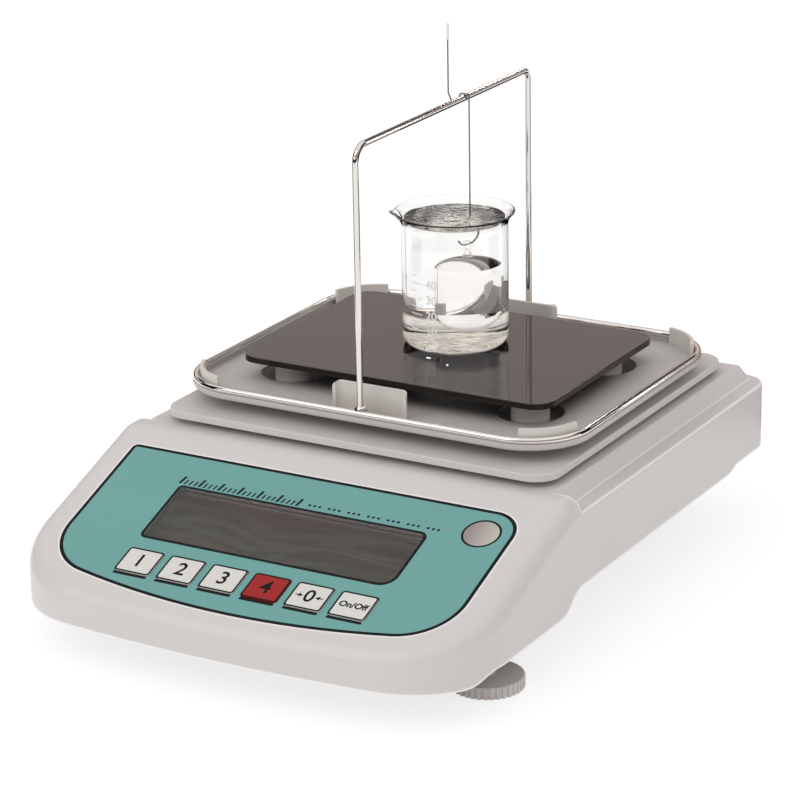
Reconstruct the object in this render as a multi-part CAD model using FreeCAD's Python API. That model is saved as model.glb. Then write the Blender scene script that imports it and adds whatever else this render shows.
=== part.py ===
import FreeCAD, Part
import math
import os

# Benchtop density meter: a top-pan balance with a stationary plate that holds a beaker
# over the pan, and a wire bridge on the pan that carries a glass sinker in the liquid.
# Millimetres, +Z up, +X to the user's right, the control panel faces -Y.
# The origin is on the bench, under the middle of the whole object.

V = FreeCAD.Vector
X_AXIS = V(1, 0, 0)
Y_AXIS = V(0, 1, 0)
Z_AXIS = V(0, 0, 1)

# ---- housing, outer form
WIDTH = 216.0               # over the side walls, at the ledge
DEPTH = 293.0               # from the front lip to the rear wall
DECK_Z = 66.0               # level top of the housing
KNEE_Y = -45.8              # where the level top turns down into the panel
KNEE_RADIUS = 14.0
PANEL_SLOPE = 20.1          # degrees below level
FRONT_BOW = 8.3             # how far the front wall bulges past its ends
FRONT_CORNER = 40.5
REAR_CORNER = 11.0
SHOULDER_RADIUS = 8.0
COVER_WALL = 2.6
LEDGE_DROP = 6.0            # ledge below the deck
LEDGE_WIDTH = 7.7           # flat part of the ledge beside the deck
LEDGE_SLANT = 5.3           # slanted wall between deck and ledge, in plan
REAR_LEDGE_WIDTH = 1.7
REAR_LEDGE_SLANT = 0.7
LEDGE_FRONT_Y = -38.8
DECK_CORNER = 5.0
DECK_EDGE_RADIUS = 1.2

# ---- housing, lower edge seen from the side
LIP_BOTTOM_Z = 15.6
FRONT_RISE = (-126.0, -108.0)
FRONT_SIDE_Z = 20.1
ARCH_RISE = (-57.5, -37.5)
ARCH_Z = 28.3
REAR_RISE = (102.5, 113.5)
REAR_SIDE_Z = 30.6

# ---- base
BASE_GAP = 0.3              # base to the cover's wall, all round
BASE_INSET = 1.2            # base above the cover's lower edge
BASE_WALL = 2.4
TUB_HALF_WIDTH = 72.0
TUB_FRONT_Y = -112.0
TUB_REAR_Y = 134.0
TUB_Z = 12.0                # underside of the tub
TUB_CORNER = 12.0

# ---- control panel, d runs down the slope from the film's top edge
FILM_FROM_KNEE = 12.5
FILM_HALF_WIDTH = 93.3
FILM_LENGTH = 85.4          # down the middle
FILM_SIDE_LENGTH = 77.4     # where the lower arc meets the corner rounds
FILM_ARC_HALF = 76.0
FILM_THICKNESS = 0.8
FILM_CORNER_LEFT = 2.5
FILM_CORNER_RIGHT = 13.0
FILM_CORNER_LOW = 26.0
FILM_GAP = 0.15
WINDOW_HALF_WIDTH = 58.0
WINDOW_TOP = 20.3
WINDOW_HEIGHT = 31.5
WINDOW_CORNERS = (1.0, 3.0, 6.0, 2.0)   # upper left, upper right, lower right, lower left
WINDOW_FIT = 0.1
KEY_WIDTH = 16.6
KEY_HEIGHT = 14.2
KEY_PITCH = 19.95
KEY_COUNT = 6
KEY_TOP = 59.7
KEY_CORNER = 1.6
KEY_PROUD = 0.35
KEY_GAP = 0.3
KEY_TRAVEL = 0.6
KEY_FLANGE = 1.0
LEVEL_X = 79.6
LEVEL_D = 13.9
LEVEL_LENS_RADIUS = 7.4
LEVEL_VIAL_RADIUS = 6.4
LEVEL_VIAL_HEIGHT = 7.0

# ---- electronics
BOARD_THICKNESS = 1.6
LCD_THICKNESS = 6.0
KEYPAD_CLEAR = 0.35         # key stem to its dome, at rest
DOME_HEIGHT = 0.8
DOME_RADIUS = 3.0
BOARD_FROM_CELL = 8.0
BOARD_FROM_TUB = 4.0
BOARD_FRONT_Y = -30.0
BOARD_REAR_Y = 84.0
BOARD_PILLAR = 5.0
BOARD_PILLAR_RADIUS = 3.0
BOARD_PILLAR_INSET = 4.0
CHIP_SIDE = 14.0
CHIP_HEIGHT = 1.8
CAPACITOR_RADIUS = 5.0
CAPACITOR_HEIGHT = 12.0
PLUG_STRIP = (8.0, 26.0, 7.0)

# ---- weighing cell
PAN_Y = 47.5                # middle of the pan
CELL_LENGTH = 110.0
CELL_WIDTH = 30.0
CELL_HEIGHT = 22.0
CELL_RISER = 3.0
CELL_OVERHANG = 15.0        # free end past the middle of the pan
PAN_CLEAR = 0.6             # spindle seat above the cell's free end, at rest

# ---- plate under the pan, and its posts
PLATE_HALF_WIDTH = 92.6
PLATE_HALF_DEPTH = 86.4
PLATE_THICKNESS = 3.0
PLATE_GAP = 2.7             # above the deck
PLATE_CORNER = 11.0
POST_X = 57.5
POST_Y = 34.0
POST_RADIUS = 8.2
POST_HEIGHT = 14.4
SPINDLE_HOLE = 13.0

# ---- pan tray
TRAY_HALF_WIDTH = 93.9
TRAY_HALF_DEPTH = 78.2
TRAY_GAP = 5.2              # above the plate
TRAY_SHEET = 1.0
TRAY_CORNER = 28.0
TRAY_LIP_HEIGHT = 3.1
RIM_WIRE_RADIUS = 1.5
TRAY_HOLE = 14.5
LUG_SHEET = 1.5
CORNER_LUG_RADIUS = 24.0
CORNER_LUG_ANGLES = (16.0, 78.0)
CORNER_LUG_HEIGHT = 7.6
MID_LUG_Y = 65.5
MID_LUG_HALF = 13.9
MID_LUG_CURL = 3.0
MID_LUG_HEIGHT = 12.3
MID_LUG_ROUND = 2.4         # its upper corners
SPIDER_SHEET = 2.5
SPIDER_REACH_X = 36.0
SPIDER_REACH_Y = 24.0
SPIDER_ARM = 12.0
BUSH_HEIGHT = 0.7
BUSH_RADIUS = 6.0

# ---- wire bridge and hanger
BRIDGE_WIRE_RADIUS = 1.35
BRIDGE_FRONT = 75.5         # legs from the middle of the pan
BRIDGE_REAR = 74.8
BRIDGE_Z = 194.4
BRIDGE_BENDS = (7.0, 4.5)
HANGER_WIRE_RADIUS = 0.32
HANGER_BEND = 0.8
HANGER_TOP_Z = 228.6
HANDLE_BEND_Z = 198.6       # where the handle turns down to the bar
HANDLE_Y = 5.9              # from the middle of the pan
HANDLE_RUN = 3.0            # handle's last slant, along the bar
SLEEVE_LENGTH = 6.8
SLEEVE_RADIUS = 0.65
HOOK_Y = 10.9               # from the middle of the pan
HOOK_RADIUS = 5.0
HOOK_RUN = 2.0              # straight bottom that the sinker's loop hangs on
HOOK_TIP_ANGLE = 60.0
HOOK_Z = 133.2
BAR_CLEAR = 0.3             # hanger wire to the bar, at its side

# ---- beaker stand
STAND_HALF_WIDTH = 74.2
STAND_HALF_DEPTH = 53.2
STAND_THICKNESS = 2.6
STAND_CORNER = 9.0
BEAKER_RADIUS = 23.0
BEAKER_HEIGHT = 58.6
BEAKER_WALL = 1.3
BEAKER_Y = 6.6              # from the middle of the pan
BEAKER_FOOT_ROUND = 4.0
BEAKER_RIM_RADIUS = 26.7    # before the rim is rounded
BEAKER_FLARE_HEIGHT = 6.5
BEAKER_LIP_ROUND = 0.3
SPOUT_REACH = 1.9
SPOUT_RADIUS = 5.0
SPOUT_DROP = 9.0
SPOUT_ANGLE = 210.0

# ---- glass sinker
SINKER_RADIUS = 10.1
SINKER_Z = 95.1
SINKER_HEIGHT = 32.3
SINKER_DOME = 4.6
SINKER_STEM_RADIUS = 1.4
SINKER_LOOP_WIRE = 0.6
SINKER_LOOP_RADIUS = 1.9

# ---- feet
FRONT_FOOT_INSET = (17.8, 60.2)   # from the side and the front of the housing
REAR_FOOT_INSET = (57.0, 29.5)
FOOT_RADIUS = 15.0
FOOT_HEIGHT = 5.5
FOOT_RIBS = 36
FOOT_RIB_DEPTH = 0.7
FOOT_PAD_RADIUS = 12.5
FOOT_PAD_HEIGHT = 0.5
FOOT_STUD_RADIUS = 3.0
FOOT_STUD_HEIGHT = 16.0
FOOT_HUB_RADIUS = 4.0
FOOT_HUB_HEIGHT = 2.6
FOOT_BOSS_RADIUS = 7.0
FOOT_BOSS_HEIGHT = 13.0
RUNNING_FIT = 0.08

# ---- screws and sockets
SCREW_RADIUS = 1.5
SCREW_HEAD_RADIUS = 2.8
SCREW_HEAD_HEIGHT = 1.8
SCREW_LENGTH = 12.0
SCREW_BOSS_RADIUS = 4.2
COVER_SCREWS = ((-70.0, -131.0), (70.0, -131.0), (-88.0, 122.0), (88.0, 122.0))
DC_JACK_X = -62.0
DC_JACK_RADIUS = 4.0
DC_JACK_WALL = 1.5
DC_JACK_DEPTH = 12.0
DC_JACK_BORE = 2.8
DC_JACK_BORE_DEPTH = 9.0
DC_JACK_PIN = 1.0
SERIAL_X = -24.0
SERIAL_WIDTH = 31.0
SERIAL_HEIGHT = 12.6
SERIAL_ROUND = 4.0
SERIAL_FLANGE = 2.0
SERIAL_DEPTH = 9.0
SERIAL_MARGIN = 2.4         # cover's opening to the metal shell
SERIAL_SHELL = 0.8
SERIAL_PIN_LENGTH = 5.0
SERIAL_PIN_RADIUS = 0.5
SERIAL_PITCH = 2.76
SOCKET_Z = 45.0
SOCKET_RECESS = 0.6
SOCKET_GAP = 0.2

# ---- values worked out from the sizes above
LEDGE_Z = DECK_Z - LEDGE_DROP
REAR_INSIDE = DEPTH / 2.0 - COVER_WALL
SLOPE = math.radians(PANEL_SLOPE)
FAR = 2.0 * (WIDTH + DEPTH)
PANEL_ORIGIN = V(0, KNEE_Y - FILM_FROM_KNEE * math.cos(SLOPE), DECK_Z - FILM_FROM_KNEE * math.sin(SLOPE))
PLATE_Z = DECK_Z + PLATE_GAP
PLATE_TOP = PLATE_Z + PLATE_THICKNESS
TRAY_Z = PLATE_TOP + TRAY_GAP
TRAY_FLOOR = TRAY_Z + TRAY_SHEET
RIM_Z = TRAY_Z + TRAY_LIP_HEIGHT + RIM_WIRE_RADIUS - 0.5
RIM_HALF_WIDTH = TRAY_HALF_WIDTH - RIM_WIRE_RADIUS
RIM_HALF_DEPTH = TRAY_HALF_DEPTH - RIM_WIRE_RADIUS
RIM_CORNER = TRAY_CORNER - RIM_WIRE_RADIUS
STAND_Z = PLATE_TOP + POST_HEIGHT
BEAKER_Z = STAND_Z + STAND_THICKNESS
CELL_Z = TUB_Z + BASE_WALL + CELL_RISER
CELL_TOP = CELL_Z + CELL_HEIGHT
CELL_FREE_Y = PAN_Y + CELL_OVERHANG
CELL_FIXED_Y = CELL_FREE_Y - CELL_LENGTH
KEY_XS = [(i - (KEY_COUNT - 1) / 2.0) * KEY_PITCH for i in range(KEY_COUNT)]
POSTS = [(sx * POST_X, PAN_Y + sy * POST_Y) for sy in (-1, 1) for sx in (-1, 1)]
FRONT_FOOT_X = WIDTH / 2.0 - FRONT_FOOT_INSET[0]
FRONT_FOOT_Y = FRONT_FOOT_INSET[1] - DEPTH / 2.0
REAR_FOOT_X = WIDTH / 2.0 - REAR_FOOT_INSET[0]
REAR_FOOT_Y = DEPTH / 2.0 - REAR_FOOT_INSET[1]
FEET = {
    "front_left": (-FRONT_FOOT_X, FRONT_FOOT_Y),
    "front_right": (FRONT_FOOT_X, FRONT_FOOT_Y),
    "rear_left": (-REAR_FOOT_X, REAR_FOOT_Y),
    "rear_right": (REAR_FOOT_X, REAR_FOOT_Y),
}
HANGER_X = BRIDGE_WIRE_RADIUS + HANGER_WIRE_RADIUS + BAR_CLEAR


# ---- helpers
def cylinder(radius, height, x, y, z):
    """Upright cylinder standing at (x, y, z)."""
    return Part.makeCylinder(radius, height, V(x, y, z))


def box(x0, x1, y0, y1, z0, z1):
    """Box between two corners."""
    return Part.makeBox(x1 - x0, y1 - y0, z1 - z0, V(x0, y0, z0))


def upright_edges(shape):
    """Straight edges parallel to Z."""
    found = []
    for edge in shape.Edges:
        ends = edge.BoundBox
        if ends.XLength < 1e-6 and ends.YLength < 1e-6:
            found.append(edge)
    return found


def rounded_box(x0, x1, y0, y1, z0, z1, radius):
    """Box with its upright edges rounded."""
    block = box(x0, x1, y0, y1, z0, z1)
    return block.makeFillet(radius, upright_edges(block))


def centred_block(half_x, half_y, z0, z1, radius):
    """Rounded block centred on the pan."""
    return rounded_box(-half_x, half_x, PAN_Y - half_y, PAN_Y + half_y, z0, z1, radius)


def prism_x(points, half_length):
    """Polygon of (y, z) points made into a bar along X."""
    outline = Part.makePolygon([V(-half_length, y, z) for y, z in points + points[:1]])
    return Part.Face(outline).extrude(X_AXIS * (2 * half_length))


def on_panel(shape):
    """Move a shape drawn flat as (x, -d, height) on to the sloped panel."""
    tilt = FreeCAD.Placement(PANEL_ORIGIN, FreeCAD.Rotation(X_AXIS, PANEL_SLOPE))
    moved = shape.copy()
    moved.Placement = tilt.multiply(shape.Placement)
    return moved


def panel_block(x, d0, width, height, low, high, radius):
    """Rounded block on the panel, centred on x, from d0 down the slope."""
    block = rounded_box(x - width / 2.0, x + width / 2.0, -d0 - height, -d0, low, high, radius)
    return on_panel(block)


def tube_along(points, bends, radius):
    """Round wire along straight runs, with one arc of its own bend at each inner point."""
    edges = []
    start = points[0]
    for before, corner, after, bend in zip(points, points[1:], points[2:], bends):
        back = (before - corner).normalize()
        ahead = (after - corner).normalize()
        half_turn = (math.pi - back.getAngle(ahead)) / 2.0
        leg = bend * math.tan(half_turn)
        entry = corner + back * leg
        leave = corner + ahead * leg
        middle = (back + ahead).normalize()
        centre = corner + middle * (bend / math.cos(half_turn))
        edges.append(Part.LineSegment(start, entry).toShape())
        edges.append(Part.Arc(entry, centre - middle * bend, leave).toShape())
        start = leave
    edges.append(Part.LineSegment(start, points[-1]).toShape())
    return sweep_round(edges, radius)


def sweep_round(edges, radius):
    """Round wire swept along joined edges."""
    path = Part.Wire(edges)
    first = edges[0]
    direction = first.tangentAt(first.FirstParameter)
    ring = Part.makeCircle(radius, first.valueAt(first.FirstParameter), direction)
    return path.makePipeShell([Part.Wire(ring)], True, False)


def fused(shapes):
    """One solid from touching shapes, with seams removed."""
    whole = shapes[0]
    for extra in shapes[1:]:
        whole = whole.fuse(extra)
    return whole.removeSplitter()


def group(shapes):
    """Separate solids kept together as one node."""
    return Part.makeCompound(shapes)


# ---- housing
def plan_block(inset):
    """Upright block of the housing's outline seen from above, moved in by the inset."""
    half = WIDTH / 2.0 - inset
    front = -DEPTH / 2.0 + inset
    rear = DEPTH / 2.0 - inset
    side_front = front + FRONT_BOW
    bow = Part.Arc(V(-half, side_front, 0), V(0, front, 0), V(half, side_front, 0)).toShape()
    corners = [V(half, side_front, 0), V(half, rear, 0), V(-half, rear, 0), V(-half, side_front, 0)]
    lines = [Part.LineSegment(a, b).toShape() for a, b in zip(corners, corners[1:])]
    block = Part.Face(Part.Wire([bow] + lines)).extrude(Z_AXIS * (DECK_Z + KNEE_RADIUS))
    edges = upright_edges(block)
    block = block.makeFillet(FRONT_CORNER - inset, [e for e in edges if e.CenterOfMass.y < 0])
    edges = [e for e in upright_edges(block) if e.CenterOfMass.y > rear - 1e-3]
    return block.makeFillet(REAR_CORNER - inset, edges)


def under_panel(inset):
    """Everything below the deck and the sloped panel, moved in by the inset."""
    knee_y = KNEE_Y + inset * math.tan(SLOPE / 2.0)
    knee_z = DECK_Z - inset
    low_z = knee_z - (knee_y + FAR) * math.tan(SLOPE)
    points = [(knee_y, knee_z), (FAR, knee_z), (FAR, -FAR), (-FAR, -FAR), (-FAR, low_z)]
    solid = prism_x(points, FAR)
    knees = [e for e in solid.Edges if abs(e.CenterOfMass.y - knee_y) < 1e-3]
    return solid.makeFillet(KNEE_RADIUS - inset, knees)


def top_rim_edges(solid):
    """Edges between the upward faces and the walls."""
    seen = []
    for face in solid.Faces:
        if face.normalAt(*[sum(face.ParameterRange[i:i + 2]) / 2.0 for i in (0, 2)]).z > 0.85:
            seen.extend(face.Edges)
    return [e for e in seen if sum(1 for other in seen if e.isSame(other)) == 1]


def deck_island(inset):
    """The deck with its slanted wall, which stands up inside the ledge."""
    half_low = WIDTH / 2.0 - LEDGE_WIDTH - inset
    half_high = half_low - LEDGE_SLANT
    rear_low = DEPTH / 2.0 - REAR_LEDGE_WIDTH - inset
    rear_high = rear_low - REAR_LEDGE_SLANT
    front = KNEE_Y - 2.0 * KNEE_RADIUS
    low = LEDGE_Z - inset
    high = DECK_Z - inset
    rims = []
    for half, rear, z in ((half_low, rear_low, low), (half_high, rear_high, high)):
        block = box(-half, half, front, rear, z, z + 1.0)
        corners = [e for e in upright_edges(block) if e.CenterOfMass.y > front + 1e-3]
        block = block.makeFillet(DECK_CORNER, corners)
        rims.append(min(block.Faces, key=lambda f: f.CenterOfMass.z).OuterWire)
    island = Part.makeLoft(rims, True, True)
    top = max(island.Faces, key=lambda f: f.CenterOfMass.z)
    edges = [e for e in top.Edges if e.CenterOfMass.y > front + 1e-3]
    return island.makeFillet(DECK_EDGE_RADIUS, edges)


def housing_form(inset):
    """Closed form of the housing, moved in by the inset on every side."""
    solid = plan_block(inset).common(under_panel(inset))
    solid = solid.makeFillet(SHOULDER_RADIUS - inset, top_rim_edges(solid))
    ledge = box(-FAR, FAR, LEDGE_FRONT_Y - inset, FAR, LEDGE_Z - inset, FAR)
    return solid.cut(ledge.cut(deck_island(inset)))


def s_bend(y0, z0, y1, z1):
    """Two tangent arcs that step from one level to another, as edges at x = 0."""
    radius = ((y1 - y0) ** 2 + (z1 - z0) ** 2) / (4.0 * abs(z1 - z0))
    way = math.copysign(1.0, z1 - z0)
    quarter = math.asin((y1 - y0) / 2.0 / radius) / 2.0
    y_arc = y0 + radius * math.sin(quarter)
    z_arc = z0 + way * radius * (1.0 - math.cos(quarter))
    middle = V(0, (y0 + y1) / 2.0, (z0 + z1) / 2.0)
    first = Part.Arc(V(0, y0, z0), V(0, y_arc, z_arc), middle)
    second = Part.Arc(middle, V(0, y0 + y1 - y_arc, z0 + z1 - z_arc), V(0, y1, z1))
    return [first.toShape(), second.toShape()]


def below_edge(rise):
    """Everything below the housing's lower edge, lifted by the rise."""
    levels = [LIP_BOTTOM_Z + rise, FRONT_SIDE_Z + rise, ARCH_Z + rise, REAR_SIDE_Z + rise]
    edges = []
    y = -FAR
    for bend, z0, z1 in zip((FRONT_RISE, ARCH_RISE, REAR_RISE), levels, levels[1:]):
        edges.append(Part.LineSegment(V(0, y, z0), V(0, bend[0], z0)).toShape())
        edges.extend(s_bend(bend[0], z0, bend[1], z1))
        y = bend[1]
    corners = [V(0, y, levels[3]), V(0, FAR, levels[3]), V(0, FAR, -FAR), V(0, -FAR, -FAR),
               V(0, -FAR, levels[0])]
    edges.extend(Part.LineSegment(a, b).toShape() for a, b in zip(corners, corners[1:]))
    face = Part.Face(Part.Wire(edges))
    face.translate(V(-FAR, 0, 0))
    return face.extrude(X_AXIS * (2 * FAR))


def film_outline(grow):
    """Film on the panel as a flat face, with its bowed lower edge."""
    half = FILM_HALF_WIDTH + grow
    top = grow
    bottom = -FILM_LENGTH - grow
    bow = (FILM_LENGTH - FILM_SIDE_LENGTH) * (half / FILM_ARC_HALF) ** 2
    arc = Part.Arc(V(-half, bottom + bow, 0), V(0, bottom, 0), V(half, bottom + bow, 0)).toShape()
    corners = [V(half, bottom + bow, 0), V(half, top, 0), V(-half, top, 0), V(-half, bottom + bow, 0)]
    lines = [Part.LineSegment(a, b).toShape() for a, b in zip(corners, corners[1:])]
    sheet = Part.Face(Part.Wire([arc] + lines)).extrude(Z_AXIS)
    rounds = ((-1, False, FILM_CORNER_LOW), (1, False, FILM_CORNER_LOW),
              (-1, True, FILM_CORNER_LEFT), (1, True, FILM_CORNER_RIGHT))
    for side, upper, radius in rounds:
        edges = [e for e in upright_edges(sheet)
                 if e.CenterOfMass.x * side > half - 1e-3
                 and (e.CenterOfMass.y > top - 1e-3) == upper]
        sheet = sheet.makeFillet(radius + grow, edges)
    return min(sheet.Faces, key=lambda f: f.CenterOfMass.z)


def film_slab(grow, low, high):
    """The film's outline as a slab between two heights over the panel."""
    face = film_outline(grow)
    face.translate(V(0, 0, low))
    return on_panel(face.extrude(Z_AXIS * (high - low)))


def window_block(grow, low, high):
    """Block through the display opening, each corner with its own radius."""
    half = WINDOW_HALF_WIDTH + grow
    top = -WINDOW_TOP + grow
    bottom = -WINDOW_TOP - WINDOW_HEIGHT - grow
    block = box(-half, half, bottom, top, low, high)
    places = ((-half, top), (half, top), (half, bottom), (-half, bottom))
    for (x, y), radius in zip(places, WINDOW_CORNERS):
        edges = [e for e in upright_edges(block) if e.CenterOfMass.distanceToPoint(
            V(x, y, (low + high) / 2.0)) < 1e-3]
        block = block.makeFillet(radius + grow, edges)
    return on_panel(block)


def key_block(x, grow, low, high):
    """Block through one key opening."""
    width = KEY_WIDTH + 2.0 * grow
    height = KEY_HEIGHT + 2.0 * grow
    return panel_block(x, KEY_TOP - grow, width, height, low, high, KEY_CORNER + grow)


def level_centre(height):
    """Point over the level's middle, at a height along the panel's normal."""
    return PANEL_ORIGIN + V(LEVEL_X,
                            -LEVEL_D * math.cos(SLOPE) - height * math.sin(SLOPE),
                            -LEVEL_D * math.sin(SLOPE) + height * math.cos(SLOPE))


def level_lens_disc(grow, low, high):
    """Disc square to the panel over the level."""
    axis = V(0, -math.sin(SLOPE), math.cos(SLOPE))
    return Part.makeCylinder(LEVEL_LENS_RADIUS + grow, high - low, level_centre(low), axis)


def level_vial_top():
    """Top middle of the vial, which stays level under the sloped lens."""
    under_lens = level_centre(-FILM_THICKNESS - 0.3)
    return under_lens - V(0, 0, LEVEL_VIAL_RADIUS * math.tan(SLOPE))


def level_cup():
    """Upright cup moulded under the panel round the vial."""
    top = level_vial_top()
    depth = LEVEL_VIAL_HEIGHT + COVER_WALL
    radius = LEVEL_VIAL_RADIUS + COVER_WALL
    reach = depth + 2.0 * LEVEL_VIAL_RADIUS * math.tan(SLOPE)
    return cylinder(radius, reach, top.x, top.y, top.z - depth)


def level_pocket():
    """Room for the vial, open to the panel."""
    top = level_vial_top()
    low = top.z - LEVEL_VIAL_HEIGHT
    return cylinder(LEVEL_VIAL_RADIUS + FILM_GAP, FAR, top.x, top.y, low)


def rear_opening_dc(grow, y0, y1):
    """Round bar through the rear wall at the supply socket."""
    return Part.makeCylinder(DC_JACK_RADIUS + grow, y1 - y0, V(DC_JACK_X, y0, SOCKET_Z), Y_AXIS)


def rear_opening_serial(grow, y0, y1):
    """Tapered bar through the rear wall at the data socket."""
    half = SERIAL_WIDTH / 2.0 + grow
    high = SERIAL_HEIGHT / 2.0 + grow
    taper = SERIAL_HEIGHT * 0.18
    outline = [(-half, high), (half, high), (half - taper, -high), (taper - half, -high)]
    points = [V(SERIAL_X + x, y0, SOCKET_Z + z) for x, z in outline + outline[:1]]
    bar = Part.Face(Part.makePolygon(points)).extrude(Y_AXIS * (y1 - y0))
    edges = [e for e in bar.Edges if e.BoundBox.YLength > (y1 - y0) - 1e-6]
    return bar.makeFillet(SERIAL_ROUND + grow, edges)


def base_top_at(y):
    """Top of the base plate at one depth, away from its bends."""
    level = LIP_BOTTOM_Z
    for bend, z in ((FRONT_RISE, FRONT_SIDE_Z), (ARCH_RISE, ARCH_Z), (REAR_RISE, REAR_SIDE_Z)):
        if y > bend[0]:
            level = z
    return level + BASE_INSET + BASE_WALL


def top_cover():
    """Moulded upper shell with deck, ledge, panel and sockets' openings."""
    form = housing_form(0.0)
    hollow = housing_form(COVER_WALL)
    shell = form.cut(hollow)
    inside = housing_form(COVER_WALL / 2.0)
    bosses = []
    for x, y in COVER_SCREWS:
        bosses.append(cylinder(SCREW_BOSS_RADIUS, DECK_Z, x, y, base_top_at(y)))
    bosses.append(level_cup())
    moulded = fused([shell] + [boss.common(inside) for boss in bosses])
    moulded = moulded.cut(below_edge(0.0))
    for x, y in POSTS:
        spacer = cylinder(POST_RADIUS, PLATE_GAP + COVER_WALL / 2.0, x, y, DECK_Z - COVER_WALL / 2.0)
        moulded = moulded.fuse(spacer)
    cuts = [film_slab(FILM_GAP, -FILM_THICKNESS, FAR)]
    cuts.append(window_block(0.0, -FAR, FAR))
    cuts.extend(key_block(x, KEY_GAP, -FAR, FAR) for x in KEY_XS)
    cuts.append(level_pocket())
    cuts.append(cylinder(SPINDLE_HOLE, 4.0 * COVER_WALL, 0, PAN_Y, DECK_Z - 2.0 * COVER_WALL))
    for x, y in COVER_SCREWS:
        cuts.append(cylinder(SCREW_RADIUS, SCREW_LENGTH + 2.0, x, y, base_top_at(y) - 0.5))
    wall_in = DEPTH / 2.0 - 3.0 * COVER_WALL
    cuts.append(rear_opening_dc(SOCKET_GAP, wall_in, FAR))
    cuts.append(rear_opening_serial(SOCKET_GAP, wall_in, FAR))
    for tool in cuts:
        moulded = moulded.cut(tool)
    return moulded.removeSplitter()


def tub(inset, z0, z1):
    """Block of the sunken middle of the base."""
    half = TUB_HALF_WIDTH - inset
    return rounded_box(-half, half, TUB_FRONT_Y + inset, TUB_REAR_Y - inset, z0, z1, TUB_CORNER - inset)


def base_cover():
    """Lower shell: a stepped rim plate with a sunken tub, bosses for feet and screws."""
    inside = plan_block(COVER_WALL + BASE_GAP)
    up_to_top = inside.common(below_edge(BASE_INSET + BASE_WALL))
    plate = up_to_top.cut(below_edge(BASE_INSET))
    walls = tub(0.0, TUB_Z, DECK_Z).common(up_to_top)
    solid = fused([plate, walls]).cut(tub(BASE_WALL, TUB_Z + BASE_WALL, DECK_Z))
    for x, y in FEET.values():
        solid = solid.fuse(cylinder(FOOT_BOSS_RADIUS, FOOT_BOSS_HEIGHT, x, y, TUB_Z))
    solid = solid.fuse(box(-CELL_WIDTH / 2.0, CELL_WIDTH / 2.0, CELL_FIXED_Y, CELL_FIXED_Y + CELL_WIDTH,
                           TUB_Z, CELL_Z))
    for x, y in FEET.values():
        bore = FOOT_STUD_RADIUS + RUNNING_FIT
        solid = solid.cut(cylinder(bore, FOOT_BOSS_HEIGHT + 2.0, x, y, TUB_Z - 1.0))
    for x, y in COVER_SCREWS:
        top = base_top_at(y)
        solid = solid.cut(cylinder(SCREW_RADIUS + 0.2, 3.0 * BASE_WALL, x, y, top - 2.0 * BASE_WALL))
    return solid.removeSplitter()


def cover_screws():
    """Four screws from below that hold the base to the cover."""
    screws = []
    for x, y in COVER_SCREWS:
        seat = base_top_at(y) - BASE_WALL
        head = cylinder(SCREW_HEAD_RADIUS, SCREW_HEAD_HEIGHT, x, y, seat - SCREW_HEAD_HEIGHT)
        shank = cylinder(SCREW_RADIUS - 0.05, BASE_WALL + SCREW_LENGTH, x, y, seat - 0.5)
        screws.append(head.fuse(shank))
    return group(screws)


# ---- control panel
def panel_film():
    """Printed film with openings for the display, the keys and the level."""
    film = film_slab(0.0, -FILM_THICKNESS, 0.0)
    film = film.cut(window_block(0.0, -FAR, FAR))
    for x in KEY_XS:
        film = film.cut(key_block(x, KEY_GAP, -FAR, FAR))
    return film.cut(level_lens_disc(0.0, -FAR, FAR))


def display_window():
    """Clear window, flush with the film, with a flange under the cover."""
    front = window_block(-WINDOW_FIT, -COVER_WALL - 1.0, 0.0)
    flange = window_block(2.0, -COVER_WALL - 1.2, -COVER_WALL)
    return fused([front, flange])


def display_module():
    """Liquid crystal display in its frame, behind the window."""
    back = -COVER_WALL - 1.2
    frame = window_block(2.0, back - LCD_THICKNESS, back)
    board = window_block(4.0, back - LCD_THICKNESS - BOARD_THICKNESS, back - LCD_THICKNESS)
    return fused([frame, board])


def key_stem_low():
    """Lower end of a key's stem, over the panel's surface."""
    return -COVER_WALL - KEY_FLANGE - 2.2


def key(x):
    """Key cap with the flange that keeps it in and the stem that presses its dome."""
    cap = key_block(x, 0.0, -COVER_WALL - KEY_FLANGE, KEY_PROUD)
    flange = key_block(x, KEY_FLANGE, -COVER_WALL - KEY_FLANGE - 0.1, -COVER_WALL - 0.1)
    low = key_stem_low()
    stem = Part.makeCylinder(2.0, -COVER_WALL - low, V(x, -KEY_TOP - KEY_HEIGHT / 2.0, low))
    return fused([cap, flange, on_panel(stem)])


def keypad_board():
    """Switch board under the keys, with one metal dome for each."""
    top = key_stem_low() - KEYPAD_CLEAR - DOME_HEIGHT - KEY_TRAVEL
    half = KEY_XS[-1] + KEY_WIDTH / 2.0 + 9.0
    board = rounded_box(-half, half, -KEY_TOP - KEY_HEIGHT - 1.5, -KEY_TOP + 1.5,
                        top - BOARD_THICKNESS, top, 1.0)
    parts = [board]
    for x in KEY_XS:
        centre = V(x, -KEY_TOP - KEY_HEIGHT / 2.0, top)
        parts.append(Part.makeCone(DOME_RADIUS, DOME_RADIUS / 2.0, DOME_HEIGHT, centre))
    for x in (-half + 3.5, half - 3.5):
        pillar_y = -KEY_TOP - KEY_HEIGHT / 2.0
        parts.append(Part.makeCylinder(2.5, -COVER_WALL - 0.05 - top, V(x, pillar_y, top)))
    return on_panel(fused(parts))


def level_lens():
    """Clear disc over the level."""
    return level_lens_disc(-WINDOW_FIT, -FILM_THICKNESS, 0.0)


def level_vial():
    """Round bubble level."""
    top = level_vial_top()
    return cylinder(LEVEL_VIAL_RADIUS, LEVEL_VIAL_HEIGHT, top.x, top.y, top.z - LEVEL_VIAL_HEIGHT)


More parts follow.
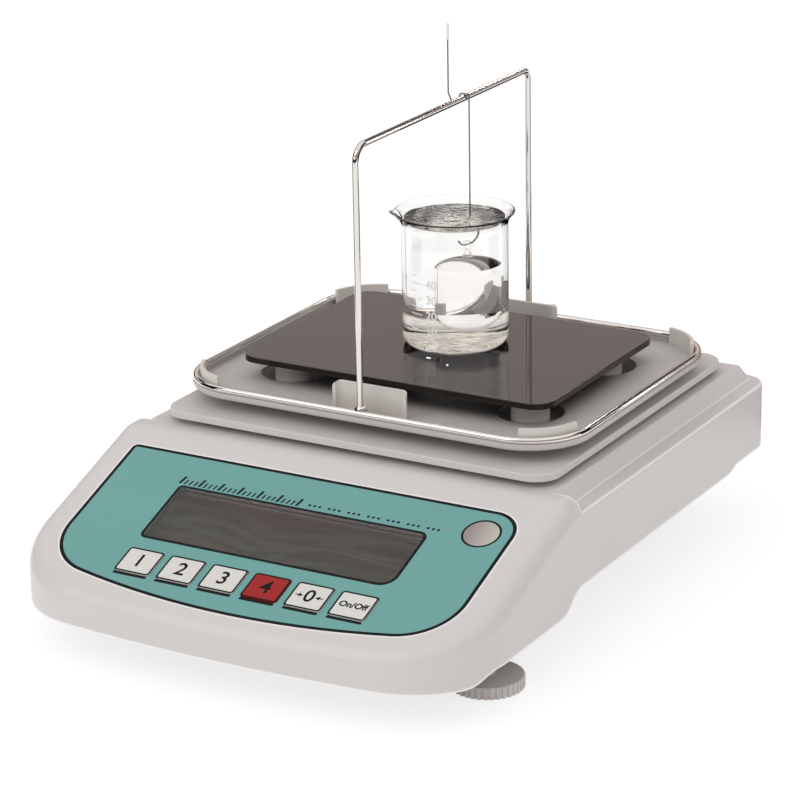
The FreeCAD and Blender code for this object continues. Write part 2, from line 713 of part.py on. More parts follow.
# ---- electronics
def main_board():
    """Circuit board on pillars beside the weighing cell, with its larger parts."""
    floor = TUB_Z + BASE_WALL
    x0 = CELL_WIDTH / 2.0 + BOARD_FROM_CELL
    x1 = TUB_HALF_WIDTH - BASE_WALL - BOARD_FROM_TUB
    y0 = BOARD_FRONT_Y
    y1 = BOARD_REAR_Y
    low = floor + BOARD_PILLAR
    top = low + BOARD_THICKNESS
    inset = BOARD_PILLAR_INSET
    parts = [box(x0, x1, y0, y1, low, top)]
    for x in (x0 + inset, x1 - inset):
        for y in (y0 + inset, y1 - inset):
            parts.append(cylinder(BOARD_PILLAR_RADIUS, BOARD_PILLAR, x, y, floor))
    chip_x = x0 + 2.0 * inset
    chip_y = y0 + 4.0 * inset
    parts.append(box(chip_x, chip_x + CHIP_SIDE, chip_y, chip_y + CHIP_SIDE, top, top + CHIP_HEIGHT))
    for row in (4.4, 7.6):
        parts.append(cylinder(CAPACITOR_RADIUS, CAPACITOR_HEIGHT, x1 - 2.4 * CAPACITOR_RADIUS,
                              y1 - row * CAPACITOR_RADIUS, top))
    strip_y = y1 - CHIP_SIDE
    parts.append(box(x0 + inset, x0 + inset + PLUG_STRIP[0], strip_y - PLUG_STRIP[1], strip_y,
                     top, top + PLUG_STRIP[2]))
    return fused(parts)


def dc_jack():
    """Low-voltage supply socket behind the rear wall."""
    half = DC_JACK_RADIUS + DC_JACK_WALL
    seat = REAR_INSIDE - 0.05
    rear = DEPTH / 2.0 - SOCKET_RECESS
    body = box(DC_JACK_X - half, DC_JACK_X + half, seat - DC_JACK_DEPTH, seat,
               SOCKET_Z - half, SOCKET_Z + half)
    nose = rear_opening_dc(0.0, seat - 0.5, rear)
    hole = rear_opening_dc(DC_JACK_BORE - DC_JACK_RADIUS, seat - DC_JACK_BORE_DEPTH, FAR)
    pin = Part.makeCylinder(DC_JACK_PIN, DC_JACK_BORE_DEPTH + 0.3,
                            V(DC_JACK_X, seat - DC_JACK_BORE_DEPTH - 0.2, SOCKET_Z), Y_AXIS)
    return fused([fused([body, nose]).cut(hole), pin])


def serial_port():
    """Nine-way data socket behind the rear wall."""
    half = SERIAL_WIDTH / 2.0 + SERIAL_FLANGE
    high = SERIAL_HEIGHT / 2.0
    seat = REAR_INSIDE - 0.05
    rear = DEPTH / 2.0 - SOCKET_RECESS
    flange = box(SERIAL_X - half, SERIAL_X + half, seat - SERIAL_DEPTH, seat,
                 SOCKET_Z - high, SOCKET_Z + high)
    shell = rear_opening_serial(-SERIAL_MARGIN, seat - 1.0, rear)
    room = rear_opening_serial(-SERIAL_MARGIN - SERIAL_SHELL, rear - SERIAL_PIN_LENGTH, FAR)
    pins = []
    for row, count in ((1, 5), (-1, 4)):
        for i in range(count):
            x = SERIAL_X + (i - (count - 1) / 2.0) * SERIAL_PITCH
            z = SOCKET_Z + row * SERIAL_PITCH * 0.515
            pins.append(Part.makeCylinder(SERIAL_PIN_RADIUS, SERIAL_PIN_LENGTH + 0.2,
                                          V(x, rear - SERIAL_PIN_LENGTH - 0.4, z), Y_AXIS))
    return fused([fused([flange, shell]).cut(room)] + pins)


# ---- weighing cell
def load_cell():
    """Aluminium bar with the two joined bores that let it bend as a parallelogram."""
    half = CELL_WIDTH / 2.0
    bar = box(-half, half, CELL_FIXED_Y, CELL_FREE_Y, CELL_Z, CELL_TOP)
    middle = (CELL_FIXED_Y + CELL_FREE_Y) / 2.0
    mid_z = (CELL_Z + CELL_TOP) / 2.0
    radius = CELL_HEIGHT * 0.36
    for y in (middle - CELL_LENGTH / 9.0, middle + CELL_LENGTH / 9.0):
        bar = bar.cut(Part.makeCylinder(radius, CELL_WIDTH, V(-half, y, mid_z), X_AXIS))
    slot = box(-half, half, middle - CELL_LENGTH / 9.0, middle + CELL_LENGTH / 9.0,
               mid_z - radius / 3.0, mid_z + radius / 3.0)
    return bar.cut(slot)


def overload_stop():
    """Stop screw and nut under the cell's free end."""
    floor = TUB_Z + BASE_WALL
    nut = cylinder(4.0, CELL_RISER * 0.55, 0, CELL_FREE_Y - 6.0, floor)
    screw = cylinder(2.0, CELL_RISER - 0.4, 0, CELL_FREE_Y - 6.0, floor)
    return fused([nut, screw])


def pan_spindle():
    """Seat over the cell's free end with the upright spindle that carries the pan."""
    low = CELL_TOP + PAN_CLEAR
    seat = rounded_box(-CELL_WIDTH / 2.0, CELL_WIDTH / 2.0, CELL_FREE_Y - 1.9 * CELL_OVERHANG,
                       CELL_FREE_Y, low, low + 5.0, 2.0)
    top = TRAY_Z - BUSH_HEIGHT - SPIDER_SHEET
    column = Part.makeCone(10.0, 7.0, DECK_Z - low, V(0, PAN_Y, low))
    neck = cylinder(7.0, top - DECK_Z, 0, PAN_Y, DECK_Z)
    return fused([seat, column, neck])


# ---- plate, posts, stand and beaker
def deck_plate():
    """Plate fixed over the deck: the foot of the beaker stand."""
    plate = centred_block(PLATE_HALF_WIDTH, PLATE_HALF_DEPTH, PLATE_Z, PLATE_TOP, PLATE_CORNER)
    rims = [e for e in plate.Edges if abs(e.CenterOfMass.z - PLATE_TOP) < 1e-6]
    plate = plate.makeFillet(0.6, rims)
    return plate.cut(cylinder(SPINDLE_HOLE, 2.0 * PLATE_THICKNESS, 0, PAN_Y, PLATE_Z - 1.0))


def stand_posts():
    """Four posts that pass through the pan's holes without touching it."""
    posts = []
    for x, y in POSTS:
        post = cylinder(POST_RADIUS, POST_HEIGHT, x, y, PLATE_TOP)
        rims = [e for e in post.Edges if abs(e.CenterOfMass.z - STAND_Z) < 1e-6]
        posts.append(post.makeFillet(0.8, rims))
    return group(posts)


def stand_plate():
    """Dark acrylic plate that bridges the pan and carries the beaker."""
    plate = centred_block(STAND_HALF_WIDTH, STAND_HALF_DEPTH, STAND_Z, BEAKER_Z, STAND_CORNER)
    rims = [e for e in plate.Edges if abs(e.CenterOfMass.z - BEAKER_Z) < 1e-6]
    return plate.makeFillet(0.3, rims)


def beaker_form(radius, low, foot_round):
    """Solid of a beaker form: floor, rounded foot, straight wall and flared rim."""
    top = BEAKER_HEIGHT
    reach = BEAKER_RIM_RADIUS - BEAKER_RADIUS
    rise = BEAKER_FLARE_HEIGHT
    rim_z = top - rise
    bend = (reach * reach + rise * rise) / (2.0 * reach)
    half_turn = math.asin(rise / bend) / 2.0
    middle = V(radius + bend * (1.0 - math.cos(half_turn)), 0, rim_z + bend * math.sin(half_turn))
    diagonal = foot_round * (1.0 - math.sqrt(0.5))
    foot = Part.Arc(V(radius - foot_round, 0, low), V(radius - diagonal, 0, low + diagonal),
                    V(radius, 0, low + foot_round)).toShape()
    edges = [Part.LineSegment(V(0, 0, low), V(radius - foot_round, 0, low)).toShape(), foot]
    edges.append(Part.LineSegment(V(radius, 0, low + foot_round), V(radius, 0, rim_z)).toShape())
    edges.append(Part.Arc(V(radius, 0, rim_z), middle, V(radius + reach, 0, top)).toShape())
    edges.append(Part.LineSegment(V(radius + reach, 0, top), V(0, 0, top)).toShape())
    edges.append(Part.LineSegment(V(0, 0, top), V(0, 0, low)).toShape())
    solid = Part.Face(Part.Wire(edges)).revolve(V(0, 0, 0), Z_AXIS, 360)
    solid.translate(V(0, PAN_Y + BEAKER_Y, BEAKER_Z))
    return solid


def beaker():
    """Glass beaker with a flared rim and a pouring spout."""
    outer = beaker_form(BEAKER_RADIUS, 0.0, BEAKER_FOOT_ROUND)
    inner = beaker_form(BEAKER_RADIUS - BEAKER_WALL, BEAKER_WALL, BEAKER_FOOT_ROUND - BEAKER_WALL)
    rim_z = BEAKER_Z + BEAKER_HEIGHT
    turn = math.radians(SPOUT_ANGLE)
    way = V(math.cos(turn), math.sin(turn), 0)
    axis = V(0, PAN_Y + BEAKER_Y, rim_z)
    mouth = SPOUT_RADIUS + BEAKER_WALL
    over = axis + way * (BEAKER_RIM_RADIUS + SPOUT_REACH - mouth) + V(0, 0, SPOUT_DROP / 3.0)
    root = axis + way * (BEAKER_RADIUS - mouth) - V(0, 0, SPOUT_DROP)
    length = over.distanceToPoint(root)
    spout = Part.makeCone(BEAKER_WALL + 0.2, mouth * 1.1, length, root, over - root)
    groove = Part.makeCone(0.2, mouth * 1.1 - BEAKER_WALL, length, root, over - root)
    below_rim = box(-FAR, FAR, -FAR, FAR, -FAR, rim_z - BEAKER_LIP_ROUND)
    cup = outer.cut(inner)
    rims = [e for e in cup.Edges if abs(e.BoundBox.ZMin - rim_z) < 0.01]
    cup = cup.makeFillet(BEAKER_LIP_ROUND, rims)
    lip = spout.common(below_rim).cut(inner)
    return cup.fuse(lip).cut(groove).removeSplitter()


# ---- pan
def tray_block(inset, z0, z1):
    """The tray's outline as a block."""
    return centred_block(TRAY_HALF_WIDTH - inset, TRAY_HALF_DEPTH - inset, z0, z1, TRAY_CORNER - inset)


def rim_edges():
    """Middle line of the rim wire, as one closed loop of edges."""
    block = centred_block(RIM_HALF_WIDTH, RIM_HALF_DEPTH, RIM_Z, RIM_Z + 1.0, RIM_CORNER)
    floor = min(block.Faces, key=lambda f: f.CenterOfMass.z)
    return floor.OuterWire.OrderedEdges


def pan_tray():
    """Shallow sheet tray with four clear holes for the stand's posts."""
    tray = tray_block(0.0, TRAY_Z, TRAY_Z + TRAY_LIP_HEIGHT)
    low_edges = [e for e in tray.Edges if abs(e.CenterOfMass.z - TRAY_Z) < 1e-6]
    tray = tray.makeFillet(TRAY_LIP_HEIGHT * 0.5, low_edges)
    tray = tray.cut(tray_block(2.0 * TRAY_SHEET, TRAY_FLOOR, TRAY_Z + 2.0 * TRAY_LIP_HEIGHT))
    for x, y in POSTS:
        tray = tray.cut(cylinder(TRAY_HOLE, 3.0 * TRAY_SHEET, x, y, TRAY_Z - TRAY_SHEET))
    return tray.cut(sweep_round(rim_edges(), RIM_WIRE_RADIUS))


def rim_wire():
    """Round wire welded along the tray's edge."""
    return sweep_round(rim_edges(), RIM_WIRE_RADIUS)


def corner_lugs():
    """Four curved sheet lugs standing inside the tray's corners."""
    lugs = []
    centre_x = RIM_HALF_WIDTH - RIM_CORNER
    centre_y = RIM_HALF_DEPTH - RIM_CORNER
    start = CORNER_LUG_ANGLES[0]
    sweep = CORNER_LUG_ANGLES[1] - start
    outer_radius = CORNER_LUG_RADIUS + LUG_SHEET / 2.0
    for sx, sy, turn in ((1, 1, 0), (-1, 1, 90), (-1, -1, 180), (1, -1, 270)):
        place = V(sx * centre_x, PAN_Y + sy * centre_y, TRAY_FLOOR)
        outer = Part.makeCylinder(outer_radius, CORNER_LUG_HEIGHT, place, Z_AXIS, sweep)
        inner = Part.makeCylinder(outer_radius - LUG_SHEET, CORNER_LUG_HEIGHT, place, Z_AXIS, 360)
        lug = outer.cut(inner)
        lug.rotate(place, Z_AXIS, start + turn)
        lugs.append(lug)
    return group(lugs)


def side_lug(side):
    """Sheet lug at the middle of a long edge, its ends curled out to the rim."""
    half = MID_LUG_HALF
    curl = MID_LUG_CURL
    y = PAN_Y + side * MID_LUG_Y
    diagonal = curl * math.sqrt(0.5)
    edges = []
    ends = []
    for sx in (-1, 1):
        centre = V(sx * half, y + side * curl, TRAY_FLOOR)
        near = V(sx * half, y, TRAY_FLOOR)
        bend = centre + V(sx * diagonal, -side * diagonal, 0)
        far = centre + V(sx * curl, 0, 0)
        edges.append(Part.Arc(near, bend, far).toShape())
        ends.append(near)
    edges.insert(1, Part.LineSegment(ends[0], ends[1]).toShape())
    sheets = []
    for edge in edges:
        wall = edge.extrude(Z_AXIS * MID_LUG_HEIGHT)
        sheets.append(wall.makeOffsetShape(side * LUG_SHEET / 2.0, 1e-4, fill=True))
        sheets.append(wall.makeOffsetShape(-side * LUG_SHEET / 2.0, 1e-4, fill=True))
    reach = half + curl + LUG_SHEET / 2.0
    top = TRAY_FLOOR + MID_LUG_HEIGHT
    outline = box(-reach, reach, y - reach, y + reach, TRAY_FLOOR, top)
    corners = [e for e in outline.Edges if abs(e.CenterOfMass.y - y) < 1e-6 and abs(e.CenterOfMass.z - top) < 1e-6]
    return fused(sheets).common(outline.makeFillet(MID_LUG_ROUND, corners))


def pan_spider():
    """Cross under the tray that spreads its load to the spindle."""
    low = TRAY_Z - BUSH_HEIGHT - SPIDER_SHEET
    half = SPIDER_ARM / 2.0
    bars = []
    for sx in (-1, 1):
        outline = box(0, math.hypot(SPIDER_REACH_X, SPIDER_REACH_Y), -half, half, low, low + SPIDER_SHEET)
        for sy in (-1, 1):
            bar = outline.copy()
            angle = math.degrees(math.atan2(sy * SPIDER_REACH_Y, sx * SPIDER_REACH_X))
            bar.rotate(V(0, 0, 0), Z_AXIS, angle)
            bars.append(bar)
            bars.append(cylinder(half, SPIDER_SHEET, sx * SPIDER_REACH_X, sy * SPIDER_REACH_Y, low))
    bars.append(cylinder(12.0, SPIDER_SHEET, 0, 0, low))
    cross = fused(bars)
    cross.translate(V(0, PAN_Y, 0))
    return cross


def pan_bushes():
    """Thin rubber discs between the cross and the tray."""
    low = TRAY_Z - BUSH_HEIGHT
    discs = []
    for sx in (-1, 1):
        for sy in (-1, 1):
            x = sx * SPIDER_REACH_X
            y = PAN_Y + sy * SPIDER_REACH_Y
            discs.append(cylinder(BUSH_RADIUS - 0.5, BUSH_HEIGHT, x, y, low))
    return group(discs)


def wire_bridge():
    """Upright wire frame welded to the rim at the middle of its front and rear."""
    foot = RIM_Z + RIM_WIRE_RADIUS * 0.6
    front = PAN_Y - min(BRIDGE_FRONT, RIM_HALF_DEPTH)
    rear = PAN_Y + min(BRIDGE_REAR, RIM_HALF_DEPTH)
    points = [V(0, front, foot), V(0, front, BRIDGE_Z), V(0, rear, BRIDGE_Z), V(0, rear, foot)]
    frame = tube_along(points, BRIDGE_BENDS, BRIDGE_WIRE_RADIUS)
    return frame.cut(rim_wire())


# ---- hanger and sinker
def hook_point(centre, degrees):
    """Point on one of the hook's bends, turned that far from its lowest point."""
    turn = math.radians(degrees)
    return centre + V(0, HOOK_RADIUS * math.sin(turn), -HOOK_RADIUS * math.cos(turn))


def hanger_wire():
    """Thin wire that lies over the bridge, stands up as a handle and ends in a hook."""
    over_bar = BRIDGE_Z + BRIDGE_WIRE_RADIUS + HANGER_WIRE_RADIUS + 0.05
    low_z = HOOK_Z + HOOK_RADIUS
    near = V(HANGER_X, PAN_Y + HOOK_Y + HOOK_RUN / 2.0, low_z)
    far = V(HANGER_X, PAN_Y + HOOK_Y - HOOK_RUN / 2.0, low_z)
    shank_y = near.y + HOOK_RADIUS
    handle_y = PAN_Y + HANDLE_Y
    points = [V(-HANGER_X, handle_y, HANGER_TOP_Z - SLEEVE_LENGTH),
              V(-HANGER_X, handle_y, HANDLE_BEND_Z),
              V(-HANGER_X, handle_y + HANDLE_RUN, BRIDGE_Z),
              V(-HANGER_X, shank_y - 2.0, BRIDGE_Z),
              V(-HANGER_X, shank_y - 0.5, over_bar),
              V(HANGER_X, shank_y, over_bar),
              V(HANGER_X, shank_y, low_z)]
    runs = tube_along(points, [HANGER_BEND] * (len(points) - 2), HANGER_WIRE_RADIUS)
    bends = [runs]
    for centre, turn in ((near, 90.0), (far, -HOOK_TIP_ANGLE)):
        path = Part.Arc(hook_point(centre, turn), hook_point(centre, turn / 2.0), hook_point(centre, 0)).toShape()
        bends.append(sweep_round([path], HANGER_WIRE_RADIUS))
    bottom = hook_point(far, 0)
    bends.append(Part.makeCylinder(HANGER_WIRE_RADIUS, HOOK_RUN, bottom, Y_AXIS))
    return fused(bends)


def hanger_sleeve():
    """Small grip crimped on the hanger's upper end."""
    grip = cylinder(SLEEVE_RADIUS, SLEEVE_LENGTH, -HANGER_X, PAN_Y + HANDLE_Y, HANGER_TOP_Z - SLEEVE_LENGTH)
    rims = [e for e in grip.Edges if abs(e.CenterOfMass.z - HANGER_TOP_Z) < 1e-6]
    return grip.makeFillet(0.3, rims)


def glass_sinker():
    """Sealed glass body with domed ends, a stem and a loop for the hook."""
    y = PAN_Y + HOOK_Y
    dome = SINKER_DOME
    low = SINKER_Z
    high = SINKER_Z + SINKER_HEIGHT
    side = math.sqrt(0.5)
    nub = 1.5
    edges = [
        Part.Arc(V(0, 0, low), V(SINKER_RADIUS * side, 0, low + dome * (1 - side)),
                 V(SINKER_RADIUS, 0, low + dome)).toShape(),
        Part.LineSegment(V(SINKER_RADIUS, 0, low + dome), V(SINKER_RADIUS, 0, high - dome)).toShape(),
        Part.Arc(V(SINKER_RADIUS, 0, high - dome), V(SINKER_RADIUS * side, 0, high - dome * (1 - side)),
                 V(0, 0, high)).toShape(),
        Part.LineSegment(V(0, 0, high), V(0, 0, low)).toShape(),
    ]
    body = Part.Face(Part.Wire(edges)).revolve(V(0, 0, 0), Z_AXIS, 360)
    body = body.fuse(Part.makeSphere(nub, V(0, 0, low + nub * 0.4)))
    loop_z = HOOK_Z + HANGER_WIRE_RADIUS + 0.03 - SINKER_LOOP_RADIUS + SINKER_LOOP_WIRE
    loop_low = loop_z - SINKER_LOOP_RADIUS - SINKER_LOOP_WIRE
    stem = Part.makeCone(SINKER_STEM_RADIUS * 1.6, SINKER_LOOP_WIRE, loop_low - high + 2.2,
                         V(0, 0, high - 1.5), Z_AXIS)
    ring = Part.makeTorus(SINKER_LOOP_RADIUS, SINKER_LOOP_WIRE, V(0, 0, loop_z), Y_AXIS)
    sinker = fused([body, stem, ring])
    sinker.translate(V(HANGER_X, y, 0))
    return sinker


# ---- feet
def foot_pad(x, y):
    """Rubber pad with the hub that the foot turns on."""
    pad = cylinder(FOOT_PAD_RADIUS, FOOT_PAD_HEIGHT, x, y, 0)
    low_rim = [e for e in pad.Edges if abs(e.CenterOfMass.z) < 1e-6]
    pad = pad.makeChamfer(0.3, low_rim)
    hub = cylinder(FOOT_HUB_RADIUS, FOOT_HUB_HEIGHT, x, y, FOOT_PAD_HEIGHT - 0.2)
    return fused([pad, hub])


def foot_disc(x, y):
    """Ribbed thumb disc with its threaded stud."""
    low = FOOT_PAD_HEIGHT + 0.1
    disc = cylinder(FOOT_RADIUS, FOOT_HEIGHT - low, x, y, low)
    rims = [e for e in disc.Edges if abs(e.CenterOfMass.z - FOOT_HEIGHT) < 1e-6]
    disc = disc.makeFillet(0.6, rims)
    pitch = 2.0 * math.pi / FOOT_RIBS
    flute = FOOT_RADIUS * math.sin(pitch / 4.0)
    for i in range(FOOT_RIBS):
        fx = x + (FOOT_RADIUS + flute - FOOT_RIB_DEPTH) * math.cos(i * pitch)
        fy = y + (FOOT_RADIUS + flute - FOOT_RIB_DEPTH) * math.sin(i * pitch)
        disc = disc.cut(cylinder(flute, FOOT_HEIGHT, fx, fy, 0))
    hub_top = FOOT_PAD_HEIGHT - 0.2 + FOOT_HUB_HEIGHT
    disc = disc.cut(cylinder(FOOT_HUB_RADIUS + RUNNING_FIT, hub_top + 0.1, x, y, 0))
    stud = cylinder(FOOT_STUD_RADIUS, FOOT_STUD_HEIGHT + 0.5, x, y, FOOT_HEIGHT - 0.5)
    return fused([disc, stud])


def save(node, shape):
    """Write one node and say what it holds."""
    shape.exportStep("parts/" + node + ".step")
    print(node, "solids", len(shape.Solids), "valid", shape.isValid(), "volume", round(shape.Volume, 1))


def main():
    os.makedirs("parts", exist_ok=True)
    save("top_cover", top_cover())
    save("base_cover", base_cover())
    save("cover_screws", cover_screws())
    save("panel_film", panel_film())
    save("display_window", display_window())
    save("display_module", display_module())
    for number, x in enumerate(KEY_XS, start=1):
        save("key_" + str(number), key(x))
    save("keypad_board", keypad_board())
    save("level_lens", level_lens())
    save("level_vial", level_vial())
    save("main_board", main_board())
    save("dc_jack", dc_jack())
    save("serial_port", serial_port())
    save("load_cell", load_cell())
    save("overload_stop", overload_stop())
    save("pan_spindle", pan_spindle())
    save("pan_spider", pan_spider())
    save("pan_bushes", pan_bushes())
    save("pan_tray", pan_tray())
    save("rim_wire", rim_wire())
    save("corner_lugs", corner_lugs())
    save("front_lug", side_lug(-1))
    save("rear_lug", side_lug(1))
    save("wire_bridge", wire_bridge())
    save("deck_plate", deck_plate())
    save("stand_posts", stand_posts())
    save("stand_plate", stand_plate())
    save("beaker", beaker())
    save("hanger_wire", hanger_wire())
    save("hanger_sleeve", hanger_sleeve())
    save("glass_sinker", glass_sinker())
    for place, (x, y) in FEET.items():
        save("foot_pad_" + place, foot_pad(x, y))
        save("foot_disc_" + place, foot_disc(x, y))


main()
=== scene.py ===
import math
import bpy
from mathutils import Matrix, Vector


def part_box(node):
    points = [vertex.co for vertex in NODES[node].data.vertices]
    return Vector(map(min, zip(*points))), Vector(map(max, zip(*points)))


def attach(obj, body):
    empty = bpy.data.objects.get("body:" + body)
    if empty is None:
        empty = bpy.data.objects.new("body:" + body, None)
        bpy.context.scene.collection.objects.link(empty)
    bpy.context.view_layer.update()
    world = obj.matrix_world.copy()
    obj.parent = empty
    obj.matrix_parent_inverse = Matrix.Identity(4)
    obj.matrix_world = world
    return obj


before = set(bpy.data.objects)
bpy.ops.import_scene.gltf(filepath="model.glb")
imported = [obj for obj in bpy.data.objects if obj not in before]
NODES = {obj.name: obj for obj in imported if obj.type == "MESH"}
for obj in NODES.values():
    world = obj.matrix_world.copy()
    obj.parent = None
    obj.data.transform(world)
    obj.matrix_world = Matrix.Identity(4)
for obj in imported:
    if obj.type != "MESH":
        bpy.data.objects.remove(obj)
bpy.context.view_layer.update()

# Metres. +Z up, the control panel faces -Y.
MM = 0.001

# ---- control panel: places are across, and down from the film's upper edge
SLOPE = math.radians(20.1)
PANEL_RIGHT = Vector((1, 0, 0))
PANEL_UP = Vector((0, math.cos(SLOPE), math.sin(SLOPE)))
PANEL_OUT = Vector((0, -math.sin(SLOPE), math.cos(SLOPE)))
FILM_BORDER = 1.45 * MM
DISPLAY_BORDER = 1.2 * MM
KEY_BORDER = 0.8 * MM
LEVEL_BORDER = 0.85 * MM
PRINT_LIFT = 0.03 * MM      # how far print stands off its surface
WELD = 0.001 * MM           # points this close are one
TOP_FACING = 0.999          # a top face looks this nearly out of the panel
KEY_NUMBERS = range(1, 7)
RED_KEY = 4
KEY_LEGENDS = {1: ("1", 10.0 * MM), 2: ("2", 10.0 * MM), 3: ("3", 10.0 * MM),
               4: ("4", 10.0 * MM), 5: ("0", 9.5 * MM), 6: ("On/Off", 4.3 * MM)}
LEGEND_WEIGHT = 0.14 * MM
TEXT_STEPS = 5
DISPLAY_SPAN = (17.0 * MM, 55.0 * MM)
KEY_ROW_HALF = 62.0 * MM
KEY_ROW_END = 74.6 * MM
LEVEL_PLACE = (79.6 * MM, 13.9 * MM)
LEVEL_REACH = 9.0 * MM
DOT_RADIUS = 0.66 * MM
DOT_SIDES = 20
DOT_PITCH = 2.35 * MM
DOT_GROUP_PITCH = 9.15 * MM
DOT_GROUPS = 7
DOT_PLACE = (2.0 * MM, 16.5 * MM)
TICK_LONG = 4.6 * MM
TICK_SHORT = 2.8 * MM
TICK_WIDTH = 0.8 * MM
TICK_BOLD = 1.5             # a long tick's width against a short one's
TICK_PITCH = 2.35 * MM
TICKS_IN_GROUP = 4
TICK_GROUPS = 6
TICK_LEAN = 0.2
TICK_PLACE = (-60.0 * MM, 18.3 * MM)
ARROW_HEAD = 1.25 * MM
ARROW_PLACE = 4.1 * MM
ARROW_SHAFT = (1.6, 0.42)   # length and width against the head

# ---- finishes: colours are sRGB 0 to 255
GRAIN_SCALE = 2600.0
DUST_COLOUR = (206, 202, 196)
DUST_FACING = (0.55, 1.0)
DUST_PATCHES = (0.42, 0.72)
WIPE_MARKS = (0.3, 0.7)
WIPE_TURN = 0.5
LEAST_ROUGHNESS = 0.02
CLEAR_WIPE_SCALE = 40.0
CLEAR_WIPE_MARKS = (0.55, 0.8)
# painted highlight along rounded edges
EDGE_WIDTH = 2.2 * MM
EDGE_SAMPLES = 8
EDGE_MATCH = (0.99, 0.9)    # rounded against flat normal, off the edge and on it
EDGE_SHARE = 0.9
EDGE_HIGHLIGHT_COLOUR = (250, 248, 246)
# painted light and shade on the level's lens: where it pales, and its pale colour
LENS_SPAN = (73.0 * MM, 87.0 * MM)
LENS_PAINTED_LIGHT = (188, 182, 172)
TRAY_SHADE_MIDDLE = (0.0, 47.5 * MM, 0.0)
TRAY_SHADE_HALF = (68.0 * MM, 47.0 * MM)
TRAY_SHADE_FADE = 8.0 * MM
TRAY_SHADE_COLOUR = (70, 64, 60)
# painted reflections on the dark display: the colours of its streaks
DISPLAY_REFLECTION_TINTS = ((0.34, (74, 54, 40)), (0.43, (154, 138, 106)), (0.5, (94, 86, 66)),
                 (0.57, (160, 158, 142)), (0.66, (92, 72, 56)))
DISPLAY_RED = (-0.0455, -0.0385)    # where the red tint begins and is full, up the display
DISPLAY_RED_SHARE = 0.8
DISPLAY_RED_COLOUR = (122, 54, 48)
SWAY_SCALE = 16.0
SWAY_REACH = 0.03
STREAK_STRETCH = (0.16, 1.0, 0.0)
STREAK_SCALE = 62.0

# ---- beaker, its liquid and the light that it gathers, painted on the stand
BEAKER_Y = 54.1 * MM
BEAKER_RADIUS = 23.0 * MM
GLASS_WALL = 1.3 * MM
GLASS_IOR = 1.47
PLASTIC_IOR = 1.49
WATER_IOR = 1.333
SINKER_IOR = 1.13           # glass against water
STAND_TOP = 88.7 * MM
BRIGHT_SPOTS = (((0.0, BEAKER_Y, STAND_TOP), 20.0 * MM),
                ((-11.0 * MM, 73.0 * MM, STAND_TOP), 19.0 * MM))
SPOT_EDGE = (1.06, 0.8)     # outer and inner end of a spot's fade against its radius
SPOT_RIPPLE_SCALE = 190.0
SPOT_RIPPLES = (0.3, 0.6)
SPOT_LEAST = 0.6
SPOT_COLOUR = (240, 236, 229)
GATHERED_LIGHT = 0.42
WATER_LEVEL = 143.5 * MM
WATER_OVERLAP = 0.06 * MM
WATER_FOOT = 2.7 * MM
WATER_SIDES = 96
WATER_SMOOTH = 35.0
ROUND_STEPS = 8
SUPPORT = 0.25 * MM         # distance of a ring that keeps an edge crisp
MENISCUS_RISE = 1.0 * MM
MENISCUS_REACH = 2.6 * MM
MENISCUS_CURVE = 2.4
RIPPLE_SCALE = 150.0
RIPPLE_HEIGHT = 1.2 * MM
RIPPLE_FACING = (0.8, 1.0)
PRINT_ON_GLASS = 0.06 * MM
VOLUME_FIGURES = ("10", "20", "30", "40")
VOLUME_ANGLE = math.radians(-88.0)
VOLUME_FIRST = 10.6 * MM
VOLUME_STEP = 6.8 * MM
VOLUME_FIGURE = 5.2 * MM
VOLUME_WEIGHT = 0.14 * MM
VOLUME_LINE = 0.5 * MM
VOLUME_TICK_LEFT = -11.0 * MM
VOLUME_TICK_LONG = 6.5 * MM
VOLUME_TICK_SHORT = 3.5 * MM
VOLUME_TICK_PARTS = 8

# ---- weld beads under the bridge
BEAD_REACH = 3.1 * MM
BEAD_NECK = 1.7 * MM
BEAD_RISE = 2.4 * MM
BEAD_SIDES = 32
BEAD_STEPS = 6
BEAD_SMOOTH = 50.0

# ---- camera and light: the sky's stops are sines of the height looked at
CAMERA_AZIMUTH = math.radians(30.05)
CAMERA_ELEVATION = math.radians(19.24)
CAMERA_ROLL = math.radians(-1.0)
CAMERA_PLACE = (0.6449, -1.1100, 0.5261)
CAMERA_LENS = 145.3
CAMERA_SENSOR = 36.0
WORLD_LIGHT = 0.86
DARK = (0.04, 0.04, 0.04)
DIM = (0.3, 0.3, 0.3)
DULL = (0.68, 0.64, 0.62)
WARM = (0.77, 0.66, 0.61)
WHITE = (1.0, 1.0, 1.0)
MIRRORED_SKY = ((0.19, DARK), (0.265, WARM), (0.39, WARM), (0.43, DARK), (0.54, DARK),
                (0.66, WHITE))
REFRACTED_SKY = ((0.08, WHITE), (0.24, DULL), (0.37, DULL), (0.46, DIM))
LAMP_AIM = (0.0, 0.0, 0.05)
KEY_LAMP_PLACE = (-0.55, -1.1, 1.05)
KEY_LAMP_SIZE = 1.2
KEY_LAMP_WATTS = 4.5
EDGE_LAMPS = (("edge_light_high", (-0.22, 1.23, 0.84)), ("edge_light_low", (0.83, 1.23, 0.26)))
EDGE_LAMP_SIZE = 0.07
EDGE_LAMP_WATTS = 0.45
FLOOR_SIZE = 8.0
FLOOR_GLOW = 0.68           # share of the bench top that no shadow darkens
FLOOR_WHITE = 1.12
CARD_BLACK = (0.01, 0.01, 0.01, 1.0)
CARD_TURN = math.radians(92.0)
CARD_AWAY = 0.42
CARD_BACK = 0.05
CARD_WIDTH = 0.22
CARD_HEIGHT = 0.5
LOW_CARD_PLACE = (-0.03, 0.42, 0.002)
LOW_CARD_SIZE = (0.5, 0.36)


# ================================================================ shader nodes
def add(tree, kind, **values):
    """New node with its properties (p_...) and its inputs' values set by name."""
    node = tree.nodes.new(kind)
    for key, value in values.items():
        if key.startswith("p_"):
            setattr(node, key[2:], value)
        else:
            node.inputs[key.replace("_", " ")].default_value = value
    return node


